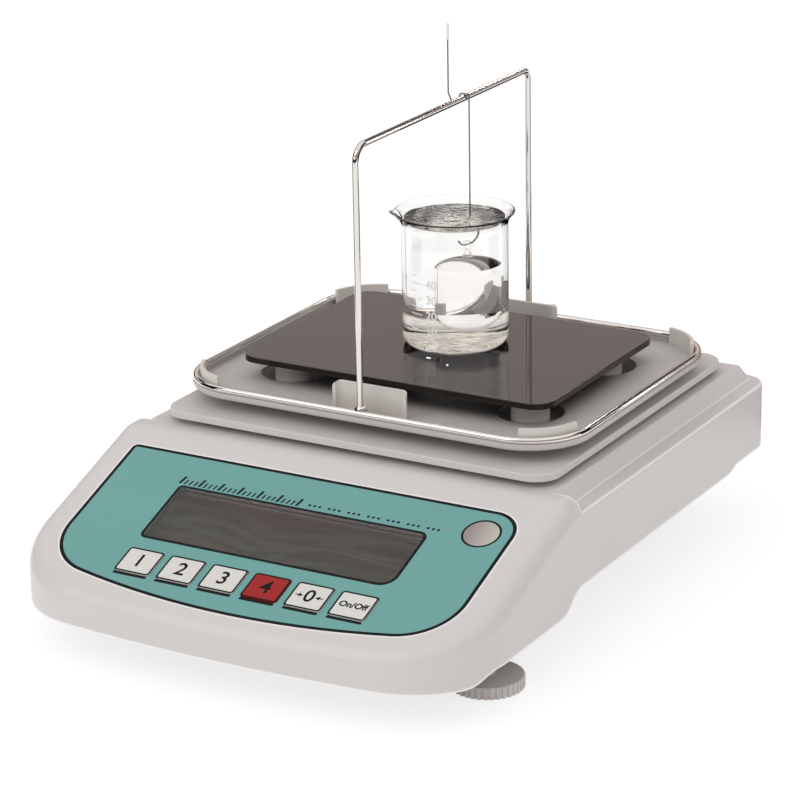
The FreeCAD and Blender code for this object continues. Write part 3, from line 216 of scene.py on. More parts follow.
def join(tree, source, output, target, slot):
    """Link by socket names or numbers."""
    tree.links.new(source.outputs[output], target.inputs[slot])


def ramp_over(tree, span, source, output, kind="LINEAR", **ends):
    """Value that runs from 0 to 1, or between other ends, while its source crosses a span."""
    ramp = add(tree, "ShaderNodeMapRange", p_clamp=True, p_interpolation_type=kind,
               From_Min=span[0], From_Max=span[1], **ends)
    join(tree, source, output, ramp, "Value")
    return ramp


def product(tree, first, first_output, second, second_output):
    """Two values multiplied."""
    node = add(tree, "ShaderNodeMath", p_operation="MULTIPLY")
    join(tree, first, first_output, node, 0)
    join(tree, second, second_output, node, 1)
    return node


def scaled(tree, source, factor):
    """A math node's value times a fixed factor."""
    node = add(tree, "ShaderNodeMath", p_operation="MULTIPLY")
    join(tree, source, 0, node, 0)
    node.inputs[1].default_value = factor
    return node


def colour_ramp(tree, stops):
    """Colour ramp through stops of position and linear colour with alpha."""
    ramp = add(tree, "ShaderNodeValToRGB")
    marks = ramp.color_ramp.elements
    while len(marks) < len(stops):
        marks.new(1.0)
    for mark, (position, colour) in zip(marks, stops):
        mark.position = position
        mark.color = colour
    return ramp


def linear(colour):
    """sRGB 0 to 255 as linear, with alpha."""
    values = [c / 255.0 for c in colour]
    return [c / 12.92 if c <= 0.04045 else ((c + 0.055) / 1.055) ** 2.4 for c in values] + [1.0]


# ---- shared groups
def new_group(name, inputs, outputs):
    """Empty shader node group with named number inputs and outputs, and its two end nodes."""
    group = bpy.data.node_groups.new(name, "ShaderNodeTree")
    for label, default in inputs:
        socket = group.interface.new_socket(label, in_out="INPUT", socket_type="NodeSocketFloat")
        socket.default_value = default
    for label in outputs:
        group.interface.new_socket(label, in_out="OUTPUT", socket_type="NodeSocketFloat")
    return group, group.nodes.new("NodeGroupInput"), group.nodes.new("NodeGroupOutput")


def grain_group():
    """Fine spark-eroded grain: a height, and a mask that varies slowly over the surface."""
    group, entry, leave = new_group("fine_grain", [("Scale", GRAIN_SCALE), ("Blotch", 18.0)],
                                    ["Height", "Mask"])
    place = add(group, "ShaderNodeTexCoord")
    fine = add(group, "ShaderNodeTexNoise", Detail=3.0, Roughness=0.6)
    slow = add(group, "ShaderNodeTexNoise", Detail=4.0, Roughness=0.55)
    for noise, size in ((fine, "Scale"), (slow, "Blotch")):
        join(group, place, "Object", noise, "Vector")
        join(group, entry, size, noise, "Scale")
    join(group, fine, "Fac", leave, "Height")
    join(group, slow, "Fac", leave, "Mask")
    return group


def dust_group():
    """Thin dust that settles on upward faces, broken up by noise."""
    group, entry, leave = new_group("settled_dust", [("Amount", 0.2), ("Scale", 40.0)], ["Mask"])
    place = add(group, "ShaderNodeTexCoord")
    facing = add(group, "ShaderNodeSeparateXYZ")
    join(group, place, "Normal", facing, 0)
    upward = ramp_over(group, DUST_FACING, facing, "Z")
    noise = add(group, "ShaderNodeTexNoise", Detail=6.0, Roughness=0.7)
    join(group, place, "Object", noise, "Vector")
    join(group, entry, "Scale", noise, "Scale")
    patchy = ramp_over(group, DUST_PATCHES, noise, "Fac")
    both = product(group, upward, "Result", patchy, "Result")
    join(group, product(group, both, 0, entry, "Amount"), 0, leave, "Mask")
    return group


def wipe_group():
    """Long fine wipe marks, as a mask."""
    group, entry, leave = new_group("wipe_marks", [("Scale", 60.0), ("Stretch", 14.0)], ["Mask"])
    place = add(group, "ShaderNodeTexCoord")
    turned = add(group, "ShaderNodeMapping", Rotation=(0.0, 0.0, WIPE_TURN))
    join(group, place, "Object", turned, "Vector")
    spread = add(group, "ShaderNodeCombineXYZ", Y=1.0, Z=1.0)
    join(group, entry, "Stretch", spread, "X")
    drawn = add(group, "ShaderNodeVectorMath", p_operation="MULTIPLY")
    join(group, turned, "Vector", drawn, 0)
    join(group, spread, "Vector", drawn, 1)
    noise = add(group, "ShaderNodeTexNoise", Detail=5.0, Roughness=0.65)
    join(group, drawn, "Vector", noise, "Vector")
    join(group, entry, "Scale", noise, "Scale")
    join(group, noise, "Fac", leave, "Mask")
    return group


GRAIN = grain_group()
DUST = dust_group()
WIPES = wipe_group()


def place_group(tree, group, **values):
    """Puts a shared group into a material with its own values."""
    return add(tree, "ShaderNodeGroup", p_node_tree=group, **values)


# ================================================================ materials
def new_material(name):
    """Material with nodes, its tree and its surface shader."""
    material = bpy.data.materials.new(name)
    material.use_nodes = True
    return material, material.node_tree, material.node_tree.nodes["Principled BSDF"]


def tint(tree, share, output, colour):
    """Mixes a second colour into a finish by a share."""
    shader = tree.nodes["Principled BSDF"]
    under = shader.inputs["Base Color"].links[0].from_socket
    mix = add(tree, "ShaderNodeMix", p_data_type="RGBA", B=linear(colour))
    join(tree, share, output, mix, "Factor")
    tree.links.new(under, mix.inputs["A"])
    join(tree, mix, "Result", shader, "Base Color")


def finish_material(name, colour, roughness, metallic=0.0, coat=0.0, coat_roughness=0.05,
                    specular=0.5, grain=0.0, grain_scale=GRAIN_SCALE, variation=0.04, dust=0.0,
                    wipes=0.0):
    """Opaque finish with slow colour drift, fine grain, wipe marks and settled dust."""
    material, tree, shader = new_material(name)
    shader.inputs["Metallic"].default_value = metallic
    shader.inputs["Specular IOR Level"].default_value = specular
    shader.inputs["Coat Weight"].default_value = coat
    shader.inputs["Coat Roughness"].default_value = coat_roughness
    base = linear(colour)[:3]
    fine = place_group(tree, GRAIN, Scale=grain_scale)
    drift = add(tree, "ShaderNodeMix", p_data_type="RGBA",
                A=[c * (1.0 - variation) for c in base] + [1.0],
                B=[min(1.0, c * (1.0 + variation)) for c in base] + [1.0])
    join(tree, fine, "Mask", drift, "Factor")
    join(tree, drift, "Result", shader, "Base Color")
    dusty = place_group(tree, DUST, Amount=dust)
    tint(tree, dusty, "Mask", DUST_COLOUR)
    gloss = ramp_over(tree, WIPE_MARKS, place_group(tree, WIPES), "Mask",
                      To_Min=max(LEAST_ROUGHNESS, roughness - wipes), To_Max=roughness + wipes)
    rough = add(tree, "ShaderNodeMath", p_operation="ADD")
    join(tree, gloss, "Result", rough, 0)
    join(tree, dusty, "Mask", rough, 1)
    join(tree, rough, 0, shader, "Roughness")
    if grain > 0.0:
        bump = add(tree, "ShaderNodeBump", Strength=1.0, Distance=grain)
        join(tree, fine, "Height", bump, "Height")
        join(tree, bump, "Normal", shader, "Normal")
    return material


def clear_material(name, colour, ior, wipes=0.02):
    """Clear glass, plastic or liquid with faint wipe marks."""
    material, tree, shader = new_material(name)
    shader.inputs["Base Color"].default_value = linear(colour)
    shader.inputs["Transmission Weight"].default_value = 1.0
    shader.inputs["IOR"].default_value = ior
    wiped = place_group(tree, WIPES, Scale=CLEAR_WIPE_SCALE)
    gloss = ramp_over(tree, CLEAR_WIPE_MARKS, wiped, "Mask", To_Min=0.0, To_Max=wipes)
    join(tree, gloss, "Result", shader, "Roughness")
    return material


def ripple_top(material):
    """Low ripples on a liquid's upward face."""
    tree = material.node_tree
    place = add(tree, "ShaderNodeTexCoord")
    facing = add(tree, "ShaderNodeSeparateXYZ")
    join(tree, place, "Normal", facing, 0)
    upward = ramp_over(tree, RIPPLE_FACING, facing, "Z")
    waves = place_group(tree, GRAIN, Scale=RIPPLE_SCALE)
    height = product(tree, waves, "Height", upward, "Result")
    bump = add(tree, "ShaderNodeBump", Strength=1.0, Distance=RIPPLE_HEIGHT)
    join(tree, height, 0, bump, "Height")
    join(tree, bump, "Normal", tree.nodes["Principled BSDF"], "Normal")


def lighten_spots(material, spots, colour):
    """Painted pools of light, round, uneven and glowing a little, where a glass gathers light on a
    finish.
    """
    tree = material.node_tree
    place = add(tree, "ShaderNodeTexCoord")
    inside = add(tree, "ShaderNodeMath", p_operation="MAXIMUM")
    for slot, (centre, radius) in enumerate(spots):
        away = add(tree, "ShaderNodeVectorMath", p_operation="DISTANCE")
        join(tree, place, "Object", away, 0)
        away.inputs[1].default_value = centre
        edge = ramp_over(tree, [radius * end for end in SPOT_EDGE], away, "Value", "SMOOTHSTEP")
        join(tree, edge, "Result", inside, slot)
    ripple = place_group(tree, GRAIN, Scale=SPOT_RIPPLE_SCALE)
    uneven = ramp_over(tree, SPOT_RIPPLES, ripple, "Height", To_Min=SPOT_LEAST)
    share = product(tree, inside, 0, uneven, "Result")
    tint(tree, share, 0, colour)
    shader = tree.nodes["Principled BSDF"]
    shader.inputs["Emission Color"].default_value = linear(colour)
    join(tree, scaled(tree, share, GATHERED_LIGHT), 0, shader, "Emission Strength")


def painted_edge_highlight(material, width, colour):
    """Painted highlight: a pale line along the rounded edges of a moulded skin, where they would
    catch the light.
    """
    tree = material.node_tree
    rounded = add(tree, "ShaderNodeBevel", p_samples=EDGE_SAMPLES, Radius=width)
    flat = add(tree, "ShaderNodeNewGeometry")
    alike = add(tree, "ShaderNodeVectorMath", p_operation="DOT_PRODUCT")
    join(tree, rounded, "Normal", alike, 0)
    join(tree, flat, "Normal", alike, 1)
    share = ramp_over(tree, EDGE_MATCH, alike, "Value", To_Max=EDGE_SHARE)
    tint(tree, share, "Result", colour)


def shade_across(material, span, colour):
    """Painted light and shade: lets a finish change slowly to a second colour from one place to
    another along X.
    """
    tree = material.node_tree
    place = add(tree, "ShaderNodeTexCoord")
    parts = add(tree, "ShaderNodeSeparateXYZ")
    join(tree, place, "Object", parts, 0)
    tint(tree, ramp_over(tree, span, parts, "X"), "Result", colour)


def shade_under(material, middle, half_size, fade, colour):
    """Darkens a finish below a plate: a soft-edged rectangle seen from above."""
    tree = material.node_tree
    place = add(tree, "ShaderNodeTexCoord")
    offset = add(tree, "ShaderNodeVectorMath", p_operation="SUBTRACT")
    join(tree, place, "Object", offset, 0)
    offset.inputs[1].default_value = middle
    size = add(tree, "ShaderNodeVectorMath", p_operation="ABSOLUTE")
    join(tree, offset, "Vector", size, 0)
    parts = add(tree, "ShaderNodeSeparateXYZ")
    join(tree, size, "Vector", parts, 0)
    share = add(tree, "ShaderNodeMath", p_operation="MULTIPLY")
    for slot, half in enumerate(half_size):
        edge = ramp_over(tree, (half + fade, half - fade), parts, "XY"[slot], "SMOOTHSTEP")
        join(tree, edge, "Result", share, slot)
    tint(tree, share, 0, colour)


def display_with_painted_reflections(name):
    """Display face with painted reflections as soft streaks along it, and a dark red tint at its
    upper edge.
    """
    material = finish_material(name, (96, 92, 84), 0.3, wipes=0.05)
    tree = material.node_tree
    place = add(tree, "ShaderNodeTexCoord")
    turned = add(tree, "ShaderNodeMapping", Rotation=(-SLOPE, 0.0, 0.0))
    join(tree, place, "Object", turned, "Vector")
    sway = add(tree, "ShaderNodeTexNoise", Scale=SWAY_SCALE, Detail=1.0)
    join(tree, turned, "Vector", sway, "Vector")
    sway_by = add(tree, "ShaderNodeVectorMath", p_operation="SCALE", Scale=SWAY_REACH)
    join(tree, sway, "Color", sway_by, 0)
    flowing = add(tree, "ShaderNodeVectorMath", p_operation="ADD")
    join(tree, turned, "Vector", flowing, 0)
    join(tree, sway_by, "Vector", flowing, 1)
    drawn = add(tree, "ShaderNodeVectorMath", p_operation="MULTIPLY")
    join(tree, flowing, "Vector", drawn, 0)
    drawn.inputs[1].default_value = STREAK_STRETCH
    streaks = add(tree, "ShaderNodeTexNoise", Scale=STREAK_SCALE, Detail=1.0, Roughness=0.4)
    join(tree, drawn, "Vector", streaks, "Vector")
    tints = colour_ramp(tree, [(position, linear(colour)) for position, colour in DISPLAY_REFLECTION_TINTS])
    join(tree, streaks, "Fac", tints, "Fac")
    join(tree, tints, "Color", tree.nodes["Principled BSDF"], "Base Color")
    parts = add(tree, "ShaderNodeSeparateXYZ")
    join(tree, flowing, "Vector", parts, 0)
    upper = ramp_over(tree, DISPLAY_RED, parts, "Y", "SMOOTHSTEP", To_Max=DISPLAY_RED_SHARE)
    tint(tree, upper, "Result", DISPLAY_RED_COLOUR)
    return material


# ---- housing and feet
HOUSING = finish_material("housing_plastic", (208, 202, 200), 0.32, grain=0.000012,
                          variation=0.03, dust=0.05, wipes=0.05)
# painted highlight along the housing's rounded edges
painted_edge_highlight(HOUSING, EDGE_WIDTH, EDGE_HIGHLIGHT_COLOUR)
BASE = finish_material("base_plastic", (176, 172, 169), 0.55, grain=0.00002, variation=0.05,
                       dust=0.05)
SCREW = finish_material("screw_zinc", (160, 160, 158), 0.32, metallic=1.0, wipes=0.08)
SOCKET = finish_material("socket_black", (24, 24, 25), 0.5, grain=0.00001, variation=0.1)
SOCKET_METAL = finish_material("socket_shell", (168, 168, 166), 0.28, metallic=1.0, wipes=0.08)
CELL = finish_material("cell_aluminium", (196, 197, 198), 0.35, metallic=1.0, wipes=0.1)
RUBBER = finish_material("pad_rubber", (30, 29, 28), 0.75, grain=0.00003, variation=0.15,
                         dust=0.1)
FOOT = finish_material("foot_plastic", (206, 199, 196), 0.5, grain=0.00002, variation=0.06,
                       dust=0.08)
# ---- control panel
FILM = finish_material("panel_print", (106, 160, 156), 0.36, grain=0.000005, grain_scale=1800.0,
                       variation=0.04, specular=0.3, wipes=0.06)
INK = finish_material("black_ink", (8, 9, 9), 0.45, variation=0.2, wipes=0.05, specular=0.15)
KEY_WHITE = finish_material("key_white", (214, 211, 206), 0.36, grain=0.000006, variation=0.03,
                            wipes=0.05)
KEY_RED = finish_material("key_red", (158, 18, 18), 0.36, grain=0.000006, variation=0.05,
                          wipes=0.05, specular=0.25)
DISPLAY = display_with_painted_reflections("display_face")
BOARD = finish_material("circuit_board", (24, 84, 46), 0.45, variation=0.2, wipes=0.05)
LEVEL = finish_material("level_body", (190, 180, 170), 0.3, variation=0.05, wipes=0.03)
LENS = finish_material("level_lens", (140, 122, 120), 0.22, variation=0.06, wipes=0.04,
                       coat=0.5, coat_roughness=0.08)
# Painted light and shade: the lens is darker on its left and pales to its right, as a lit dome
# looks.
shade_across(LENS, LENS_SPAN, LENS_PAINTED_LIGHT)
# ---- pan, bridge and stand
TRAY = finish_material("tray_paint", (190, 184, 180), 0.42, grain=0.000008, variation=0.04,
                       wipes=0.06, coat=0.2, coat_roughness=0.2)
shade_under(TRAY, TRAY_SHADE_MIDDLE, TRAY_SHADE_HALF, TRAY_SHADE_FADE, TRAY_SHADE_COLOUR)
LUG = finish_material("lug_paint", (212, 206, 200), 0.4, grain=0.000008, variation=0.04,
                      wipes=0.05)
CHROME = finish_material("wire_chrome", (228, 222, 217), 0.08, metallic=1.0, variation=0.02)
PLATE = finish_material("plate_paint", (204, 198, 194), 0.45, grain=0.00001, variation=0.05,
                        dust=0.08, wipes=0.05)
POST = finish_material("post_plastic", (182, 178, 174), 0.5, grain=0.00001, variation=0.05)
ACRYLIC = finish_material("acrylic_dark", (30, 25, 23), 0.03, variation=0.03, wipes=0.01)
# painted light: pale, faintly glowing spots on the acrylic under the beaker
lighten_spots(ACRYLIC, BRIGHT_SPOTS, SPOT_COLOUR)
STEEL = finish_material("wire_steel", (120, 118, 116), 0.25, metallic=1.0, variation=0.05,
                        wipes=0.08)
SLEEVE = finish_material("sleeve_white", (232, 232, 230), 0.3, variation=0.03, wipes=0.04)
# ---- clear pieces and the print on glass
WHITE_PRINT = finish_material("white_print", (240, 240, 238), 0.5, variation=0.02)
GLASS = clear_material("beaker_glass", (254, 253, 252), GLASS_IOR)
CLEAR = clear_material("window_clear", (240, 236, 229), PLASTIC_IOR, wipes=0.04)
WATER = clear_material("water", (254, 254, 254), WATER_IOR, wipes=0.0)
ripple_top(WATER)
SINKER_GLASS = clear_material("sinker_glass", (253, 252, 252), SINKER_IOR, wipes=0.0)

NODE_MATERIALS = {
    "top_cover": HOUSING, "base_cover": BASE, "cover_screws": SCREW, "panel_film": FILM,
    "display_window": CLEAR, "display_module": DISPLAY, "keypad_board": BOARD,
    "level_lens": LENS, "level_vial": LEVEL, "main_board": BOARD, "dc_jack": SOCKET,
    "serial_port": SOCKET_METAL, "load_cell": CELL, "overload_stop": SCREW, "pan_spindle": CELL,
    "pan_spider": CELL, "pan_bushes": RUBBER, "pan_tray": TRAY, "rim_wire": CHROME,
    "corner_lugs": LUG, "front_lug": LUG, "rear_lug": LUG, "wire_bridge": CHROME,
    "deck_plate": PLATE, "stand_posts": POST, "stand_plate": ACRYLIC, "beaker": GLASS,
    "hanger_wire": STEEL, "hanger_sleeve": SLEEVE, "glass_sinker": SINKER_GLASS,
}
for number in KEY_NUMBERS:
    NODE_MATERIALS["key_" + str(number)] = KEY_RED if number == RED_KEY else KEY_WHITE
for corner in ("front_left", "front_right", "rear_left", "rear_right"):
    NODE_MATERIALS["foot_pad_" + corner] = RUBBER
    NODE_MATERIALS["foot_disc_" + corner] = FOOT


def dress_nodes():
    """Gives every CAD node its finish."""
    for name, node in NODES.items():
        node.data.materials.clear()
        node.data.materials.append(NODE_MATERIALS[name])


dress_nodes()


def activate(piece):
    """Makes one object the only one that operators act on."""
    bpy.ops.object.select_all(action="DESELECT")
    piece.select_set(True)
    bpy.context.view_layer.objects.active = piece


def edit(piece):
    """Opens an object for mesh operators with nothing selected."""
    activate(piece)
    bpy.ops.object.mode_set(mode="EDIT")
    bpy.ops.mesh.select_mode(type="FACE")
    bpy.ops.mesh.select_all(action="DESELECT")


def delete_faces(piece, unwanted):
    """Deletes the faces for which a test holds."""
    edit(piece)
    bpy.ops.object.mode_set(mode="OBJECT")
    for face in piece.data.polygons:
        face.select = unwanted(face)
    bpy.ops.object.mode_set(mode="EDIT")
    bpy.ops.mesh.delete(type="FACE")
    bpy.ops.object.mode_set(mode="OBJECT")


def joined(pieces):
    """One object from several."""
    activate(pieces[0])
    for piece in pieces[1:]:
        piece.select_set(True)
    if len(pieces) > 1:
        bpy.ops.object.join()
    return pieces[0]


def set_in_mesh(piece):
    """Moves an object's place, turn and size into its mesh."""
    activate(piece)
    bpy.ops.object.transform_apply(location=True, rotation=True, scale=True)


def smooth(piece, degrees):
    """Smooth shading across edges flatter than an angle."""
    activate(piece)
    bpy.ops.object.shade_smooth_by_angle(angle=math.radians(degrees))


def settle(piece, name, body, material):
    """Puts a piece's place into its mesh and gives it name, finish and body."""
    set_in_mesh(piece)
    piece.name = name
    piece.data.name = name
    piece.data.materials.clear()
    piece.data.materials.append(material)
    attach(piece, body)
    piece.select_set(False)


def repeat_along_x(piece, step, count):
    """Row of copies made by an array."""
    activate(piece)
    row = piece.modifiers.new("row", "ARRAY")
    row.use_relative_offset = False
    row.use_constant_offset = True
    row.constant_offset_displace = (step, 0.0, 0.0)
    row.count = count
    bpy.ops.object.modifier_apply(modifier=row.name)


# ---- control panel
def film_top():
    """Middle of the film's upper edge, on its surface."""
    highest = max((v.co for v in NODES["panel_film"].data.vertices), key=lambda p: p.z)
    return Vector((0.0, highest.y, highest.z))


FILM_TOP = film_top()


def panel_place(point):
    """A point's place on the panel: across, and down from the film's upper edge."""
    away = point - FILM_TOP
    return away.x, -away.dot(PANEL_UP)


def lay_on_panel(piece, x, d):
    """Moves a piece drawn flat at the origin on to the panel."""
    place = FILM_TOP + PANEL_RIGHT * x - PANEL_UP * d + PANEL_OUT * PRINT_LIFT
    piece.matrix_world = Matrix.Translation(place) @ Matrix.Rotation(SLOPE, 4, "X")


def top_of_node(node_name):
    """A node's uppermost face on the panel, as a flat piece of its own."""
    piece = bpy.data.objects.new(node_name + "_top", NODES[node_name].data.copy())
    bpy.context.scene.collection.objects.link(piece)
    edit(piece)
    bpy.ops.mesh.select_all(action="SELECT")
    bpy.ops.mesh.remove_doubles(threshold=WELD)
    bpy.ops.object.mode_set(mode="OBJECT")
    bpy.ops.mesh.customdata_custom_splitnormals_clear()
    height = max(v.co.dot(PANEL_OUT) for v in piece.data.vertices)
    delete_faces(piece, lambda f: f.normal.dot(PANEL_OUT) < TOP_FACING
                 or f.center.dot(PANEL_OUT) < height - 2 * WELD)
    return piece


def printed_line(name, node_name, width, unwanted, body):
    """Black line along a node's edge: its top face inset, and all but the wanted rim deleted."""
    piece = top_of_node(node_name)
    edit(piece)
    bpy.ops.mesh.select_all(action="SELECT")
    bpy.ops.mesh.inset(thickness=width, use_boundary=True, use_even_offset=True)
    bpy.ops.mesh.delete(type="FACE")
    bpy.ops.object.mode_set(mode="OBJECT")
    delete_faces(piece, lambda f: unwanted(*panel_place(f.center)))
    piece.location = PANEL_OUT * PRINT_LIFT
    settle(piece, name, body, INK)


def near_display(x, d):
    """Whether a place on the panel is at the rim of the display's opening."""
    return abs(x) < KEY_ROW_HALF and DISPLAY_SPAN[0] < d < DISPLAY_SPAN[1]


def near_keys(x, d):
    """Whether a place on the panel is among the keys."""
    return abs(x) < KEY_ROW_HALF and DISPLAY_SPAN[1] < d < KEY_ROW_END


def near_level(x, d):
    """Whether a place on the panel is at the rim of the level's opening."""
    return math.hypot(x - LEVEL_PLACE[0], d - LEVEL_PLACE[1]) < LEVEL_REACH


def panel_lines():
    """Black lines printed round the film, the display, the level and each key."""
    printed_line("film_border", "panel_film", FILM_BORDER,
                 lambda x, d: near_display(x, d) or near_keys(x, d) or near_level(x, d), "housing")
    printed_line("display_border", "panel_film", DISPLAY_BORDER,
                 lambda x, d: not near_display(x, d), "housing")
    printed_line("level_border", "panel_film", LEVEL_BORDER,
                 lambda x, d: not near_level(x, d), "housing")
    for number in KEY_NUMBERS:
        name = "key_" + str(number)
        printed_line(name + "_outline", name, KEY_BORDER, lambda x, d: False, name)


panel_lines()


def dot_row():
    """Printed dots in groups of three beside the tick rule."""
    bpy.ops.mesh.primitive_circle_add(vertices=DOT_SIDES, radius=DOT_RADIUS, fill_type="NGON")
    piece = bpy.context.object
    repeat_along_x(piece, DOT_PITCH, 3)
    repeat_along_x(piece, DOT_GROUP_PITCH, DOT_GROUPS)
    lay_on_panel(piece, *DOT_PLACE)
    settle(piece, "dot_row", "housing", INK)


def slanted_tick(height, width):
    """One upright mark that leans to the right, standing on y = 0."""
    bpy.ops.mesh.primitive_plane_add(size=1.0)
    piece = bpy.context.object
    piece.scale = (width, height, 1.0)
    piece.location = (0.0, height / 2.0, 0.0)
    set_in_mesh(piece)
    for corner in piece.data.vertices:
        corner.co.x += corner.co.y * TICK_LEAN
    return piece


def tick_rule():
    """Rule of long and short ticks above the display."""
    short = slanted_tick(TICK_SHORT, TICK_WIDTH)
    short.location.x = TICK_PITCH
    set_in_mesh(short)
    repeat_along_x(short, TICK_PITCH, TICKS_IN_GROUP - 1)
    rule = joined([slanted_tick(TICK_LONG, TICK_WIDTH * TICK_BOLD), short])
    repeat_along_x(rule, TICKS_IN_GROUP * TICK_PITCH, TICK_GROUPS)
    last = slanted_tick(TICK_LONG, TICK_WIDTH * TICK_BOLD)
    last.location.x = TICKS_IN_GROUP * TICK_PITCH * TICK_GROUPS
    rule = joined([rule, last])
    lay_on_panel(rule, *TICK_PLACE)
    settle(rule, "tick_rule", "housing", INK)


dot_row()
tick_rule()


def flat_text(text_body, size, weight):
    """Figures as a flat mesh centred on the origin, made bolder by a weight."""
    bpy.ops.object.select_all(action="DESELECT")
    bpy.ops.object.text_add()
    text = bpy.context.object
    text.data.body = text_body
    text.data.size = size
    text.data.offset = weight
    text.data.align_x = "CENTER"
    text.data.align_y = "CENTER"
    text.data.resolution_u = TEXT_STEPS
    bpy.ops.object.convert(target="MESH")
    return bpy.context.object


def key_middle(name):
    """Middle of a key's top: its place on the panel, and how far it stands over the film."""
    low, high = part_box(name)
    points = [v.co for v in NODES[name].data.vertices]
    top = max(p.dot(PANEL_OUT) for p in points)
    face = [p for p in points if p.dot(PANEL_OUT) > top - 2 * WELD]
    down = panel_place(sum(face, Vector()) / len(face))[1]
    return (low.x + high.x) / 2.0, down, top - FILM_TOP.dot(PANEL_OUT)


def zero_arrow(side):
    """Arrow beside the zero, its head turned towards it."""
    bpy.ops.mesh.primitive_circle_add(vertices=3, radius=ARROW_HEAD, fill_type="NGON",
                                      rotation=(0.0, 0.0, side * math.pi / 2.0),
                                      location=(side * ARROW_PLACE, 0.0, 0.0))
    head = bpy.context.object
    bpy.ops.mesh.primitive_plane_add(size=1.0,
                                     location=(side * (ARROW_PLACE + ARROW_HEAD), 0.0, 0.0))
    shaft = bpy.context.object
    shaft.scale = (ARROW_SHAFT[0] * ARROW_HEAD, ARROW_SHAFT[1] * ARROW_HEAD, 1.0)
    return joined([head, shaft])


def key_legends():
    """Numbers on four keys, zero between arrows on the fifth, the switch's words on the sixth."""
    for number in KEY_NUMBERS:
        name = "key_" + str(number)
        text_body, size = KEY_LEGENDS[number]
        pieces = [flat_text(text_body, size, LEGEND_WEIGHT)]
        if text_body == "0":
            pieces += [zero_arrow(-1), zero_arrow(1)]
        legend = joined(pieces)
        x, d, rise = key_middle(name)
        set_in_mesh(legend)
        lay_on_panel(legend, x, d)
        legend.matrix_world = Matrix.Translation(PANEL_OUT * rise) @ legend.matrix_world
        settle(legend, name + "_legend", name, INK)


key_legends()


# ---- turned forms: water and weld beads
BEAKER_BASE = Vector((0.0, BEAKER_Y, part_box("beaker")[0].z))


def quarter_turn(steps):
    """Sines and cosines from 0 to 90 degrees."""
    angles = [math.radians(90.0 * k / steps) for k in range(steps + 1)]
    return [(math.sin(angle), math.cos(angle)) for angle in angles]


def turned_form(rings, segments, x, y):
    """Closed form made by extruding a disc from ring to ring, each of a radius and height."""
    radius, height = rings[0]
    bpy.ops.object.select_all(action="DESELECT")
    bpy.ops.mesh.primitive_circle_add(vertices=segments, radius=radius, fill_type="NGON",
                                      location=(x, y, height))
    piece = bpy.context.object
    bpy.ops.object.mode_set(mode="EDIT")
    bpy.ops.mesh.select_mode(type="FACE")
    bpy.ops.mesh.select_all(action="SELECT")
    for next_radius, next_height in rings[1:]:
        rise = (0.0, 0.0, next_height - height)
        bpy.ops.mesh.extrude_region_move(TRANSFORM_OT_translate={"value": rise})
        grow = next_radius / radius
        bpy.ops.transform.resize(value=(grow, grow, 1.0), center_override=(x, y, next_height))
        radius, height = next_radius, next_height
    bpy.ops.mesh.select_all(action="SELECT")
    bpy.ops.mesh.normals_make_consistent(inside=False)
    bpy.ops.object.mode_set(mode="OBJECT")
    return piece


def water():
    """Water that fills the beaker to its level, with a small rise against the glass."""
    inner = BEAKER_RADIUS - GLASS_WALL + WATER_OVERLAP
    floor = BEAKER_BASE.z + GLASS_WALL - WATER_OVERLAP
    rings = [(inner - WATER_FOOT - SUPPORT, floor), (inner - WATER_FOOT, floor)]
    for sine, cosine in quarter_turn(ROUND_STEPS)[1:]:
        rings.append((inner - WATER_FOOT + WATER_FOOT * sine, floor + WATER_FOOT * (1 - cosine)))
    rings.append((inner, floor + WATER_FOOT + SUPPORT))
    rings.append((inner, WATER_LEVEL + MENISCUS_RISE - SUPPORT))
    for k in range(ROUND_STEPS + 1):
        fall = k / ROUND_STEPS
        rings.append((inner - MENISCUS_REACH * fall,
                      WATER_LEVEL + MENISCUS_RISE * (1 - fall) ** MENISCUS_CURVE))
    rings.append((inner - MENISCUS_REACH - SUPPORT, WATER_LEVEL))
    piece = turned_form(rings, WATER_SIDES, BEAKER_BASE.x, BEAKER_BASE.y)
    smooth(piece, WATER_SMOOTH)
    settle(piece, "water", "beaker", WATER)


def weld_beads():
    """Low beads of weld where the bridge's two feet stand on the rim."""
    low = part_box("wire_bridge")[0]
    foot = [v.co for v in NODES["wire_bridge"].data.vertices if v.co.z < low.z + WELD]
    beads = []
    for y in (min(p.y for p in foot), max(p.y for p in foot)):
        side = [p for p in foot if abs(p.y - y) < BEAD_REACH * 2]
        middle = sum(side, Vector()) / len(side)
        rings = [(BEAD_REACH - SUPPORT, low.z)]
        for sine, cosine in quarter_turn(BEAD_STEPS):
            rings.append((BEAD_NECK + (BEAD_REACH - BEAD_NECK) * cosine,
                          low.z + BEAD_RISE * sine))
        beads.append(turned_form(rings, BEAD_SIDES, middle.x, middle.y))
    both = joined(beads)
    smooth(both, BEAD_SMOOTH)
    settle(both, "weld_beads", "pan", CHROME)


water()
weld_beads()


# ---- printed marks on the beaker
def wrap_on_beaker(piece, name, angle):
    """Wraps a flat mesh drawn in x and y round the glass, with x = 0 at an angle, y upwards."""
    radius = BEAKER_RADIUS + PRINT_ON_GLASS
    set_in_mesh(piece)
    for v in piece.data.vertices:
        turn = angle + v.co.x / radius
        v.co = (BEAKER_BASE.x + radius * math.cos(turn), BEAKER_BASE.y + radius * math.sin(turn),
                BEAKER_BASE.z + v.co.y)
    settle(piece, name, "beaker", WHITE_PRINT)


def volume_tick(width, height):
    """Thin mark across the glass, in short pieces so that it follows the round."""
    bpy.ops.mesh.primitive_grid_add(x_subdivisions=VOLUME_TICK_PARTS, y_subdivisions=1, size=1.0)
    tick = bpy.context.object
    tick.scale = (width, VOLUME_LINE, 1.0)
    tick.location = (VOLUME_TICK_LEFT + width / 2.0, height, 0.0)
    return tick


